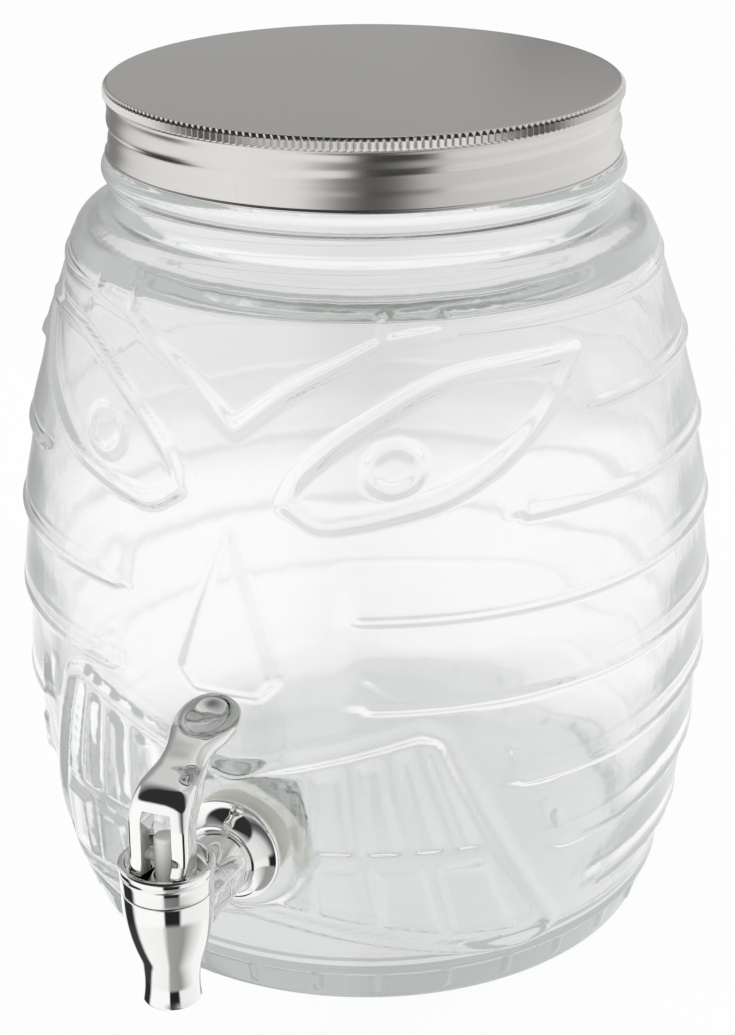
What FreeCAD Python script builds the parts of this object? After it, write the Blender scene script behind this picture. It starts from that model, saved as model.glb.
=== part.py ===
"""Glass dispenser jar with a moulded face, a screw lid and a lever tap, as a parametric document.

Millimetres, +Z up. The origin is the middle of the foot, on the surface that the jar stands on,
and the tap and the moulded face look along -Y.
"""
import FreeCAD
import Part
import Sketcher
import math
import os

# Every driving size: name, value in millimetres (degrees where the note says so), what it is.
SIZES = [
    # jar
    ("belly_radius", 97.6, "largest radius of the plain glass"),
    ("belly_height", 93.0, "height of the largest radius"),
    ("glass_wall", 4.6, "thickness of the side wall"),
    ("foot_round", 2.0, "rounding under the foot"),
    ("bearing_width", 12.0, "width of the ring that touches the table"),
    ("push_up", 3.5, "rise of the underside at its middle"),
    ("floor_height", 9.0, "height of the inside floor"),
    ("floor_round", 10.0, "rounding between the floor and the wall"),
    ("shoulder_height", 196.0, "height where the side turns in"),
    ("shoulder_rise", 7.5, "rise of the rounded shoulder"),
    ("shoulder_run", 5.6, "inward run of the rounded shoulder"),
    ("shoulder_round", 9.0, "radius of the shoulder"),
    ("neck_radius", 69.8, "outer radius of the neck"),
    ("neck_inset", 10.19, "how far the neck lies inside the shoulder"),
    ("neck_rise", 13.5, "height of the foot of the neck above the shoulder"),
    ("bead_gap", 3.3, "plain neck under the carrying bead"),
    ("bead_half", 2.6, "half the height of the bead"),
    ("bead_rise", 1.5, "how far the bead stands out from the neck"),
    ("finish_step", 2.9, "step in from the neck to the part inside the lid"),
    ("finish_wall", 4.9, "wall of the neck inside the lid"),
    ("finish_height", 17.7, "height of the rim above the bead"),
    ("rim_round", 1.4, "rounding of the rim"),
    ("mouth_depth", 29.7, "depth of the straight mouth under the rim"),
    ("inner_drop", 3.0, "how far under the shoulder the inside turns in"),
    # bands round the jar
    ("band_first", 30.0, "height of the lowest band"),
    ("band_top_gap", 3.95, "distance of the highest band under the shoulder"),
    ("band_half", 2.4, "half the width of a band"),
    ("band_rise", 1.6, "how far a band stands out"),
    ("band_root", 0.7, "how deep a band is bedded in the wall"),
    # moulded face
    ("line_radius", 2.2, "radius of the rounded lines of the face"),
    ("line_bed", 0.55, "how deep their middle lies under the glass"),
    ("tooth_rise", 1.5, "how far a tooth stands out"),
    ("nose_rise", 1.8, "how far the nose stands out"),
    ("plate_bed", 1.5, "how deep the teeth and the nose are bedded"),
    ("tooth_gap", 2.6, "gap between two teeth"),
    ("iris_rise", 1.3, "how far the middle of an eye stands out"),
    ("iris_half", 9.9, "half the width of the bedded ball of an eye"),
    # lid
    ("lid_gap", 3.1, "distance from the neck inside the lid to the outside of the lid"),
    ("lid_clear", 1.0, "distance of the lower edge of the lid above the bead"),
    ("lid_sheet", 0.6, "thickness of the pressed sheet"),
    ("lid_corner", 1.6, "rounding of the top edge"),
    ("liner_thick", 1.7, "thickness of the liner"),
    ("roll_rise", 8.4, "height of the rolled groove above the lower edge"),
    ("roll_half", 1.7, "half the height of the rolled groove"),
    ("roll_depth", 0.9, "depth of the rolled groove"),
    ("curl_half", 1.3, "half the height of the curled edge"),
    ("curl_rise", 1.2, "how far the curled edge stands out"),
    # tap, along the shank
    ("tap_height", 54.0, "height of the shank"),
    ("boss_proud", 2.06, "how far the outer flat seat stands out from the glass"),
    ("boss_inset", 3.5, "how far the inner flat seat stands in from the glass"),
    ("boss_radius", 16.6, "radius of the flat seats"),
    ("hole_play", 0.7, "radial play of the shank in the glass"),
    ("gasket_thick", 1.8, "thickness of each gasket"),
    ("gasket_radius", 13.6, "outer radius of each gasket"),
    ("shank_radius", 7.9, "outer radius of the shank"),
    ("shank_bore", 5.0, "radius of the way through the shank"),
    ("shank_tail", 4.2, "how far the shank stands out of the nut"),
    ("shank_play", 0.15, "radial play of what is slid over the shank"),
    ("sleeve_length", 19.0, "length of the sleeve with its flange"),
    ("arm_radius", 9.0, "outer radius of the arm and the sleeve"),
    ("arm_length", 17.3, "distance from the tap axis to the end of the arm"),
    ("flange_radius", 14.7, "radius of the flange"),
    ("flange_edge", 1.0, "thickness of the flange at its edge"),
    ("flange_depth", 6.2, "length of the flared part"),
    ("flange_flare", 9.0, "radius of the flare"),
    ("flange_step", 0.7, "height of the step where the flare starts"),
    ("nut_across", 24.0, "nut, across flats"),
    ("nut_thick", 8.0, "thickness of the nut"),
    # tap, body and bonnet: heights from the middle of the shank
    ("outlet_drop", 22.0, "mouth of the outlet under the shank"),
    ("outlet_radius", 7.55, "outer radius of the outlet"),
    ("outlet_hollow", 27.0, "radius of the waisted part above the outlet"),
    ("turn_drop", 9.0, "where the waist turns into the swelling body, under the shank"),
    ("turn_radius", 8.55, "radius of the body there"),
    ("body_swell", 49.7, "radius of the swelling up to the seam"),
    ("outlet_bore", 5.4, "radius of the outlet bore"),
    ("seat_drop", 5.5, "valve seat under the shank"),
    ("chamber_radius", 7.8, "radius of the valve chamber"),
    ("ledge_rise", 6.0, "ledge that holds the seal, above the shank"),
    ("seam_rise", 10.1, "seam between body and bonnet, above the shank"),
    ("bonnet_radius", 11.84, "outer radius of the bonnet"),
    ("bonnet_wall", 1.34, "wall of the bonnet above its floor"),
    ("floor_rise", 13.5, "floor that the lever stands on, above the shank"),
    ("lip_rise", 4.3, "rim of the bonnet above its floor"),
    ("bonnet_plate", 2.0, "thickness of the floor"),
    ("bonnet_round", 0.6, "rounding of the rim"),
    ("spigot_radius", 9.9, "outer radius of the spigot inside the body"),
    ("spigot_wall", 1.5, "wall of the spigot"),
    ("spigot_play", 0.1, "radial play of the spigot"),
    ("cut_over", 1.0, "how far a cut runs past the face that it opens"),
    # tap, seal and stem
    ("seal_flange", 1.2, "thickness of the clamped edge of the seal"),
    ("seal_wall", 1.2, "wall of the bellows"),
    ("seal_play", 0.3, "radial play of the bellows in the chamber"),
    ("plug_radius", 6.4, "radius of the plug"),
    ("plug_thick", 2.6, "thickness of the plug under the stem"),
    ("plug_waist", 4.7, "radius of the bellows above the plug"),
    ("stem_radius", 3.0, "radius of the stem"),
    ("stem_play", 0.4, "radial play of the stem in the bonnet"),
    ("stem_rise", 11.1, "top of the stem above the floor of the bonnet"),
    ("stem_chamfer", 0.5, "chamfer of the top of the stem"),
    ("pin_radius", 1.5, "radius of the two trunnions"),
    ("pin_half", 5.6, "half the length over the trunnions"),
    ("pin_play", 0.06, "radial play of the trunnions"),
    ("pin_end_play", 0.2, "room at the end of each trunnion"),
    # lever, measured from its trunnion axis: forward along -Y, and up
    ("foot_drop", 4.8, "height of the trunnion axis above the floor"),
    ("foot_lead", 2.6, "lift for each radian of tilt, and how far ahead the foot bears"),
    ("lever_swing", 48.0, "tilt from shut to open, degrees"),
    ("foot_play", 0.05, "room under the foot"),
    ("lever_width", 14.8, "width over the legs"),
    ("window_width", 8.0, "width between the legs"),
    ("window_top", 14.5, "top of the window, up from the axis"),
    ("leg_front", 5.2, "front of the legs, forward of the axis"),
    ("leg_back", 3.0, "back of the legs, behind the axis"),
    ("leg_round", 60.0, "radius of the side of the legs towards the handle"),
    ("crown_height", 19.4, "top of the block, up from the axis"),
    ("crown_run", 6.0, "run of the rounded front of the block"),
    ("crown_drop", 3.0, "where that rounding starts, under the top of the window"),
    ("crown_round", 9.0, "radius of that rounding"),
    ("saddle_round", 12.0, "hollow between the block and the handle"),
    ("neck_back", 11.5, "narrowest place of the handle, behind the axis"),
    ("neck_up", 22.0, "top of the handle there, up from the axis"),
    ("neck_width", 12.4, "width of the handle there"),
    ("neck_extra", 1.0, "added thickness of the handle there"),
    ("handle_round", 40.0, "radius of the long curves of the handle"),
    ("paddle_back", 25.5, "middle of the paddle, behind the axis"),
    ("paddle_up", 24.6, "top of the paddle, up from the axis"),
    ("paddle_width", 17.0, "width of the paddle"),
    ("paddle_thick", 4.4, "thickness of the handle"),
    ("paddle_round", 22.0, "hollow of the paddle towards its tip"),
    ("tip_back", 33.6, "tip of the paddle, behind the axis"),
    ("tip_up", 27.2, "top of the tip, up from the axis"),
    ("tip_round", 2.5, "rounding of the tip"),
    ("tip_lean", 0.2, "how far the tip leans back"),
    ("tip_thick", 3.4, "thickness of the tip"),
    ("under_round", 14.0, "hollow under the handle behind the legs"),
    ("under_drop", 5.0, "where that hollow meets the legs, under the top of the window"),
    ("thumb_length", 7.6, "half the length of the thumb hollow"),
    ("thumb_width", 5.6, "half the width of the thumb hollow"),
    ("thumb_depth", 1.2, "depth of the thumb hollow"),
]

# Each band stops short of the face by its own angle on both sides, degrees, lowest band first.
BAND_ENDS = [66.0, 56.0, 48.0, 23.0, 22.0, 48.0, 64.0, 37.0]

# Lines of the right half of the face, each an arc through three places:
# degrees round from the front, and height as a share of the shoulder's.
FACE_LINES = {
    "brow": ((-1, 0.848), (17, 0.941), (36, 0.980)),
    "upper_lid": ((9.3, 0.770), (18.5, 0.857), (31, 0.911)),
    "upper_lid_end": ((31, 0.911), (45, 0.931), (60, 0.932)),
    "lower_lid": ((9.3, 0.770), (35, 0.781), (60, 0.915)),
    "mouth_top": ((-1, 0.390), (15, 0.429), (29.5, 0.465)),
    "mouth_side": ((29.5, 0.465), (41.5, 0.299), (54.5, 0.094)),
    "mouth_low": ((54.5, 0.094), (27, 0.117), (-1, 0.163)),
}

# Sides of the teeth beside the tap: degrees round at the top and at the bottom of each division.
UPPER_TEETH = [(12.0, 12.4), (19.0, 20.4), (24.6, 28.0), (29.0, 35.0), (32.4, 41.0)]
LOWER_TEETH = [(12.0, 12.4), (21.5, 23.0), (31.5, 35.6), (42.0, 49.5)]

# Ends of a row of teeth as shares of the shoulder's height: at the front, and how much they rise for each degree.
UPPER_ENDS = ((0.270, 0.0), (0.368, 0.00254))
LOWER_ENDS = ((0.185, -0.00179), (0.248, 0.0))
NOSE = ((-8.5, 8.5), (-0.7, 0.7), (0.505, 0.735))
IRIS = (26.0, 0.816)
FOOT_ARCS = 4

doc = FreeCAD.newDocument("dispenser")
sheet = doc.addObject("Spreadsheet::Sheet", "Sizes")
for row, (alias, value, note) in enumerate(SIZES, start=1):
    sheet.set(f"A{row}", alias)
    sheet.set(f"B{row}", str(value))
    sheet.setAlias(f"B{row}", alias)
    sheet.set(f"C{row}", note)
doc.recompute()


class Dim:
    """A length that keeps its number together with the sheet expression that drives it."""

    def __init__(self, value, text=None):
        self.value = float(value)
        self.text = text if text else repr(float(value))

    def __add__(self, other):
        other = dim(other)
        return Dim(self.value + other.value, f"({self.text} + {other.text})")

    def __sub__(self, other):
        other = dim(other)
        return Dim(self.value - other.value, f"({self.text} - {other.text})")

    def __mul__(self, other):
        other = dim(other)
        return Dim(self.value * other.value, f"({self.text} * {other.text})")

    def __truediv__(self, other):
        other = dim(other)
        return Dim(self.value / other.value, f"({self.text} / {other.text})")

    def __neg__(self):
        return Dim(-self.value, f"(0 - {self.text})")

    def __rsub__(self, other):
        return dim(other) - self

    __radd__ = __add__
    __rmul__ = __mul__


def dim(value):
    """A plain number as a Dim."""
    return value if isinstance(value, Dim) else Dim(value)


def root(value):
    """Square root of a Dim."""
    return Dim(math.sqrt(value.value), f"sqrt({value.text})")


def bow(half, rise):
    """Radius of the arc over a chord of twice half that stands rise above it."""
    return (half * half + rise * rise) / (2 * rise)


class Sizes:
    """The sheet's cells by name."""

    def __getattr__(self, alias):
        return Dim(sheet.get(alias), f"Sizes.{alias}")


S = Sizes()


def bind(item, prop, size):
    """Drive a property from the sheet."""
    item.setExpression(prop, dim(size).text)


def body(name):
    """An empty solid body whose label names its file."""
    made = doc.addObject("PartDesign::Body", name)
    made.Label = name
    return made


def place(item, across=None, along=None, up=None):
    """Drive the place of a sub-part from the sheet."""
    for axis, size in (("x", across), ("y", along), ("z", up)):
        if size is not None:
            bind(item, f"Placement.Base.{axis}", size)


def plane_sketch(owner, name, plane, offset=None):
    """An empty sketch on one of the body's origin planes, or parallel to it."""
    sketch = owner.newObject("Sketcher::SketchObject", name)
    planes = [item for item in owner.Origin.OriginFeatures if item.Role == plane]
    sketch.AttachmentSupport = [(planes[0], "")]
    sketch.MapMode = "FlatFace"
    if offset is not None:
        bind(sketch, "AttachmentOffset.Base.z", offset)
    return sketch


def hold(sketch, edge, end, axis, size):
    """Fix one coordinate of an edge's end to a size."""
    size = dim(size)
    if size.value == 0:
        sketch.addConstraint(Sketcher.Constraint("PointOnObject", edge, end, -2 if axis == "X" else -1))
        return
    index = sketch.addConstraint(Sketcher.Constraint("Distance" + axis, -1, 1, edge, end, size.value))
    label = f"{axis.lower()}_{edge}_{end}"
    sketch.renameConstraint(index, label)
    bind(sketch, f"Constraints.{label}", size)


def arc_between(start, end, bend):
    """Arc of the radius bend from start to end, turning left where bend is positive."""
    chord = end - start
    half = chord.Length / 2
    side = FreeCAD.Vector(-chord.y, chord.x, 0).normalize()
    reach = math.sqrt(max(bend * bend - half * half, 0))
    centre = (start + end) * 0.5 + side * math.copysign(reach, bend)
    first, last = (start, end) if bend > 0 else (end, start)
    angles = [math.atan2(p.y - centre.y, p.x - centre.x) for p in (first, last)]
    circle = Part.Circle(centre, FreeCAD.Vector(0, 0, 1), abs(bend))
    return Part.ArcOfCircle(circle, angles[0], angles[1])


def outline(sketch, corners):
    """Closed outline: each corner is (across, up), or (across, up, bend) where an arc follows it."""
    first = sketch.GeometryCount
    count = len(corners)
    spots = [FreeCAD.Vector(dim(c[0]).value, dim(c[1]).value, 0) for c in corners]
    ends = []
    for index, corner in enumerate(corners):
        start, end = spots[index], spots[(index + 1) % count]
        if len(corner) == 2:
            sketch.addGeometry(Part.LineSegment(start, end))
            ends.append((1, 2))
        else:
            bend = dim(corner[2])
            edge = sketch.addGeometry(arc_between(start, end, bend.value))
            ends.append((1, 2) if bend.value > 0 else (2, 1))
    for index in range(count):
        after = (index + 1) % count
        sketch.addConstraint(Sketcher.Constraint(
            "Coincident", first + index, ends[index][1], first + after, ends[after][0]))
    for index, corner in enumerate(corners):
        hold(sketch, first + index, ends[index][0], "X", corner[0])
        hold(sketch, first + index, ends[index][0], "Y", corner[1])
        if len(corner) == 3:
            bend = dim(corner[2])
            size = bend if bend.value > 0 else -bend
            spot = sketch.addConstraint(Sketcher.Constraint("Radius", first + index, size.value))
            sketch.renameConstraint(spot, f"bend_{first + index}")
            bind(sketch, f"Constraints.bend_{first + index}", size)
    return sketch


def ring(sketch, across, up, radius):
    """Circle in a sketch, its centre and radius driven from the sheet."""
    across, up, radius = dim(across), dim(up), dim(radius)
    centre = FreeCAD.Vector(across.value, up.value, 0)
    edge = sketch.addGeometry(Part.Circle(centre, FreeCAD.Vector(0, 0, 1), radius.value))
    hold(sketch, edge, 3, "X", across)
    hold(sketch, edge, 3, "Y", up)
    spot = sketch.addConstraint(Sketcher.Constraint("Radius", edge, radius.value))
    sketch.renameConstraint(spot, f"radius_{edge}")
    bind(sketch, f"Constraints.radius_{edge}", radius)
    return sketch


def turned(owner, sketch, kind="Revolution", axis="V_Axis", angle=360.0):
    """Turn a sketch about one of its axes, adding to the body or cutting it."""
    feature = owner.newObject(f"PartDesign::{kind}", f"{sketch.Name}_{kind.lower()}")
    feature.Profile = sketch
    feature.ReferenceAxis = (sketch, [axis])
    feature.Midplane = True
    feature.Angle = angle
    sketch.Visibility = False
    return feature


def pad(owner, sketch, length, both=False):
    """Raise a sketch along its normal, or half to each side."""
    feature = owner.newObject("PartDesign::Pad", f"{sketch.Name}_pad")
    feature.Profile = sketch
    feature.Midplane = both
    bind(feature, "Length", length)
    return feature


def pocket(owner, sketch, length, both=False):
    """Cut a sketch into the body against its normal, or half to each side."""
    feature = owner.newObject("PartDesign::Pocket", f"{sketch.Name}_pocket")
    feature.Profile = sketch
    feature.Midplane = both
    bind(feature, "Length", length)
    return feature


SHOULDER = S.neck_radius + S.neck_inset
BELLY_ARC = bow(S.shoulder_height - S.belly_height, S.belly_radius - SHOULDER)


def belly(height):
    """Outer radius of the plain glass at a height."""
    rise = dim(height) - S.belly_height
    return S.belly_radius - BELLY_ARC + root(BELLY_ARC * BELLY_ARC - rise * rise)


def inside(height):
    """Inner radius of the side wall at a height."""
    rise = dim(height) - S.belly_height
    arc = BELLY_ARC - S.glass_wall
    return S.belly_radius - BELLY_ARC + root(arc * arc - rise * rise)


# Places that follow from the sizes: up the neck, out along the shank, and up the tap.
NECK_LOW = S.shoulder_height + S.neck_rise
BEAD_LOW = NECK_LOW + S.bead_gap
BEAD_TOP = BEAD_LOW + 2 * S.bead_half
FINISH = S.neck_radius - S.finish_step
MOUTH = FINISH - S.finish_wall
RIM = BEAD_TOP + S.finish_height
LID_RADIUS = FINISH + S.lid_gap
LID_BOTTOM = BEAD_TOP + S.lid_clear
LID_UNDER = RIM + S.liner_thick
SEAT_FRONT = belly(S.tap_height) + S.boss_proud
SEAT_BACK = inside(S.tap_height) - S.boss_inset
FLANGE_FACE = SEAT_FRONT + S.gasket_thick
SLEEVE_END = FLANGE_FACE + S.sleeve_length
TAP_REACH = SLEEVE_END + S.arm_length
NUT_FRONT = SEAT_BACK - S.gasket_thick
SHANK_END = NUT_FRONT - S.nut_thick - S.shank_tail
VALVE_SEAT = S.tap_height - S.seat_drop
LEDGE = S.tap_height + S.ledge_rise
SEAM = S.tap_height + S.seam_rise
BONNET_FLOOR = S.tap_height + S.floor_rise
BONNET_RIM = BONNET_FLOOR + S.lip_rise
PIVOT = BONNET_FLOOR + S.foot_drop


def spot_on(turn, share):
    """A place on the plain glass and the direction out of it, from degrees round and a share of the height."""
    height = share * S.shoulder_height.value
    lean = (height - S.belly_height.value) / BELLY_ARC.value
    level = math.sqrt(1 - lean * lean)
    across, front = math.sin(math.radians(turn)), math.cos(math.radians(turn))
    radius = belly(height).value
    spot = FreeCAD.Vector(radius * across, -radius * front, height)
    return spot, FreeCAD.Vector(level * across, -level * front, lean)


def face_line(jar, name, places, side):
    """Rounded line of the face: a tube bedded in the glass along the arc through three places."""
    spots = []
    for turn, share in places:
        spot, out = spot_on(side * turn, share)
        spots.append(spot - out * S.line_bed.value)
    centre = Part.Arc(*spots).toShape().Curve.Center
    first, middle, last = (spot - centre for spot in spots)
    axis = (spots[1] - spots[0]).cross(spots[2] - spots[1]).normalize()
    tube = jar.newObject("PartDesign::AdditiveTorus", name)
    tube.Refine = False
    tube.Radius1 = first.Length
    bind(tube, "Radius2", S.line_radius)
    tube.Angle1 = -180
    tube.Angle2 = 180
    tube.Angle3 = math.degrees(first.getAngle(middle) + middle.getAngle(last))
    turn = FreeCAD.Rotation(first, axis.cross(first), axis, "ZXY")
    tube.Placement = FreeCAD.Placement(centre, turn)


def face_plate(jar, name, low, high, heights, rise, gap):
    """Raised plate with straight sides: degrees round of its low and high edges, and its two shares of the height."""
    middle = (sum(low) + sum(high)) / 4
    spot, out = spot_on(middle, sum(heights) / 2)
    length = spot_on(middle, heights[1])[0].sub(spot_on(middle, heights[0])[0]).Length
    per_degree = math.radians(math.hypot(spot.x, spot.y))
    trim = gap / 2
    plate = jar.newObject("PartDesign::AdditiveWedge", name)
    plate.Refine = False
    for prop, turn, inset in (("Xmin", low[0], trim), ("Xmax", low[1], -trim),
                              ("X2min", high[0], trim), ("X2max", high[1], -trim)):
        bind(plate, prop, (turn - middle) * per_degree + inset)
    for prop, size in (("Zmin", -S.plate_bed), ("Z2min", -S.plate_bed), ("Zmax", rise), ("Z2max", rise)):
        bind(plate, prop, size)
    plate.Ymin = -length / 2
    plate.Ymax = length / 2
    across = FreeCAD.Vector(-spot.y, spot.x, 0)
    plate.Placement = FreeCAD.Placement(spot, FreeCAD.Rotation(across, out.cross(across), out, "ZXY"))


def face_eye(jar, name, side):
    """Low dome in the middle of an eye: a flattened ball bedded to its half height."""
    spot, out = spot_on(side * IRIS[0], IRIS[1])
    dome = jar.newObject("PartDesign::AdditiveEllipsoid", name)
    dome.Refine = False
    bind(dome, "Radius1", 2 * S.iris_rise)
    bind(dome, "Radius2", S.iris_half)
    bind(dome, "Radius3", S.iris_half * 0.86)
    dome.Angle1 = -90
    dome.Angle2 = 90
    dome.Angle3 = 360
    across = FreeCAD.Vector(-spot.y, spot.x, 0)
    dome.Placement = FreeCAD.Placement(spot - out * S.iris_rise.value,
                                       FreeCAD.Rotation(across, out.cross(across), out, "ZXY"))


def mould_face(jar):
    """Lines, eyes, nose and teeth of the face, the same on both sides."""
    face_plate(jar, "nose", *NOSE, S.nose_rise, dim(0))
    rows = (("upper_tooth", UPPER_TEETH, UPPER_ENDS), ("lower_tooth", LOWER_TEETH, LOWER_ENDS))
    for side, tag in ((1, "right"), (-1, "left")):
        for name, places in FACE_LINES.items():
            face_line(jar, f"{name}_{tag}", places, side)
        face_eye(jar, f"eye_{tag}", side)
        for name, cuts, ends in rows:
            for index, (first, last) in enumerate(zip(cuts[:-1], cuts[1:]), start=1):
                middle = (sum(first) + sum(last)) / 4
                heights = [start + slope * middle for start, slope in ends]
                high, low = (sorted((side * first[end], side * last[end])) for end in (0, 1))
                face_plate(jar, f"{name}_{index}_{tag}", low, high, heights, S.tooth_rise, S.tooth_gap)


def make_jar():
    """One moulded glass jar: belly, bands, face, foot, neck and a flat seat for the tap."""
    jar = body("glass_jar")
    foot = belly(S.foot_round)
    bearing = foot - S.foot_round - S.bearing_width
    floor_edge = S.floor_height + S.floor_round
    throat = SHOULDER - S.shoulder_run
    throat_height = S.shoulder_height + S.shoulder_rise
    run, rise = throat - S.neck_radius, NECK_LOW - throat_height
    section = outline(plane_sketch(jar, "jar_section", "XZ_Plane"), [
        (0, S.push_up, -bow(bearing, S.push_up)),
        (bearing, 0),
        (foot - S.foot_round, 0, S.foot_round * 1.1),
        (foot, S.foot_round, BELLY_ARC),
        (SHOULDER, S.shoulder_height, S.shoulder_round),
        (throat, throat_height, -1.06 * root(run * run + rise * rise)),
        (S.neck_radius, NECK_LOW),
        (S.neck_radius, BEAD_LOW, bow(S.bead_half, S.bead_rise)),
        (S.neck_radius, BEAD_TOP),
        (FINISH, BEAD_TOP),
        (FINISH, RIM - S.rim_round, S.rim_round),
        (FINISH - S.rim_round, RIM),
        (MOUTH + S.rim_round, RIM, S.rim_round),
        (MOUTH, RIM - S.rim_round),
        (MOUTH, RIM - S.mouth_depth),
        (inside(S.shoulder_height - S.inner_drop), S.shoulder_height - S.inner_drop, S.glass_wall - BELLY_ARC),
        (inside(floor_edge), floor_edge, -S.floor_round * 1.1),
        (inside(floor_edge) - S.floor_round, S.floor_height),
        (0, S.floor_height),
    ])
    turned(jar, section)
    pitch = (S.shoulder_height - S.band_top_gap - S.band_first) / (len(BAND_ENDS) - 1)
    for index, ends in enumerate(BAND_ENDS):
        height = S.band_first + pitch * index
        bed = belly(height) - S.band_root
        band = outline(plane_sketch(jar, f"band_{index + 1}", "YZ_Plane"), [
            (bed, height - S.band_half, bow(S.band_half, S.band_rise + S.band_root)),
            (bed, height + S.band_half),
        ])
        turned(jar, band, angle=360 - 2 * ends)
    mould_face(jar)
    seat = ring(plane_sketch(jar, "tap_seat", "XZ_Plane", SEAT_BACK), 0, S.tap_height, S.boss_radius)
    pad(jar, seat, SEAT_FRONT - SEAT_BACK)
    hole = ring(plane_sketch(jar, "tap_hole", "XZ_Plane", SEAT_FRONT + S.glass_wall),
                0, S.tap_height, S.shank_radius + S.hole_play)
    pocket(jar, hole, SEAT_FRONT - SEAT_BACK + 2 * S.glass_wall)
    return jar


def make_lid():
    """Pressed screw lid: flat top, rolled groove, and an edge curled outward."""
    lid = body("lid_shell")
    outer, inner = LID_RADIUS, LID_RADIUS - S.lid_sheet
    top = LID_UNDER + S.lid_sheet
    middle = LID_BOTTOM + S.roll_rise
    roll = bow(S.roll_half, S.roll_depth)
    section = outline(plane_sketch(lid, "lid_section", "XZ_Plane"), [
        (0, LID_UNDER),
        (0, top),
        (outer - S.lid_corner, top, -S.lid_corner),
        (outer, top - S.lid_corner),
        (outer, middle + S.roll_half, roll),
        (outer, middle - S.roll_half),
        (outer, LID_BOTTOM + 2 * S.curl_half, -bow(S.curl_half, S.curl_rise)),
        (outer, LID_BOTTOM),
        (inner, LID_BOTTOM),
        (inner, middle - S.roll_half, -roll),
        (inner, middle + S.roll_half),
        (inner, top - S.lid_corner, S.lid_corner - S.lid_sheet),
        (outer - S.lid_corner, LID_UNDER),
    ])
    turned(lid, section)
    return lid


def make_liner():
    """Soft disc between the rim of the jar and the lid."""
    liner = doc.addObject("Part::Cylinder", "lid_liner")
    liner.Label = "lid_liner"
    bind(liner, "Radius", LID_RADIUS - S.lid_corner - S.lid_sheet)
    bind(liner, "Height", S.liner_thick)
    place(liner, up=RIM)
    return liner


def make_tap_body():
    """Body of the tap: outlet, valve chamber, arm, and the shank that goes through the glass."""
    tap = body("tap_body")
    shell_top = S.bonnet_radius - S.bonnet_round / 2
    outlet = S.tap_height - S.outlet_drop
    outside = outline(plane_sketch(tap, "tap_outside", "XZ_Plane"), [
        (0, outlet),
        (S.outlet_radius, outlet, -S.outlet_hollow),
        (S.turn_radius, S.tap_height - S.turn_drop, S.body_swell),
        (shell_top, SEAM),
        (0, SEAM),
    ])
    turned(tap, outside)
    back = TAP_REACH - SHANK_END
    arm = outline(plane_sketch(tap, "tap_arm", "YZ_Plane", None), [
        (0, S.tap_height),
        (back, S.tap_height),
        (back, S.tap_height + S.shank_radius),
        (S.arm_length, S.tap_height + S.shank_radius),
        (S.arm_length, S.tap_height + S.arm_radius),
        (0, S.tap_height + S.arm_radius),
    ])
    spin = turned(tap, arm)
    spin.ReferenceAxis = (arm, ["Edge1"])
    neck = S.spigot_radius + S.spigot_play
    hollow = outline(plane_sketch(tap, "tap_hollow", "XZ_Plane"), [
        (0, outlet - S.cut_over),
        (S.outlet_bore, outlet - S.cut_over),
        (S.outlet_bore, VALVE_SEAT),
        (S.chamber_radius, VALVE_SEAT),
        (S.chamber_radius, LEDGE),
        (neck, LEDGE),
        (neck, SEAM + S.cut_over),
        (0, SEAM + S.cut_over),
    ])
    turned(tap, hollow, "Groove")
    bore = ring(plane_sketch(tap, "tap_bore", "XZ_Plane"), 0, S.tap_height, S.shank_bore)
    pocket(tap, bore, back + S.cut_over)
    place(tap, along=-TAP_REACH)
    return tap


def make_flange():
    """Sleeve over the shank, flared into the flange that presses the outer gasket."""
    sleeve = body("tap_flange")
    bore = S.shank_radius + S.shank_play
    seat, front = FLANGE_FACE, SLEEVE_END
    flare = seat + S.flange_depth
    section = outline(plane_sketch(sleeve, "flange_section", "YZ_Plane"), [
        (-front, bore),
        (-front, S.arm_radius),
        (-flare, S.arm_radius),
        (-flare, S.arm_radius + S.flange_step, S.flange_flare),
        (-(seat + S.flange_edge), S.flange_radius),
        (-seat, S.flange_radius),
        (-seat, bore),
    ])
    turned(sleeve, section, axis="H_Axis")
    place(sleeve, up=S.tap_height)
    return sleeve


def make_gasket(name, front):
    """Flat washer round the shank, its front face at a distance from the jar axis."""
    washer = body(name)
    shape = plane_sketch(washer, f"{name}_ring", "XZ_Plane", front - S.gasket_thick)
    ring(shape, 0, 0, S.gasket_radius)
    ring(shape, 0, 0, S.shank_radius + S.shank_play)
    pad(washer, shape, S.gasket_thick)
    place(washer, up=S.tap_height)
    return washer


def make_nut():
    """Six-sided nut on the shank, inside the jar."""
    prism = doc.addObject("Part::Prism", "nut_blank")
    prism.Polygon = 6
    bind(prism, "Circumradius", S.nut_across / math.sqrt(3))
    bind(prism, "Height", S.nut_thick)
    bore = doc.addObject("Part::Cylinder", "nut_bore")
    bind(bore, "Radius", S.shank_radius + S.shank_play)
    bind(bore, "Height", S.nut_thick * 3)
    place(bore, up=-S.nut_thick)
    nut = doc.addObject("Part::Cut", "shank_nut")
    nut.Label = "shank_nut"
    nut.Base = prism
    nut.Tool = bore
    nut.Placement.Rotation = FreeCAD.Rotation(FreeCAD.Vector(1, 0, 0), -90)
    place(nut, along=-NUT_FRONT, up=S.tap_height)
    return nut


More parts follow.
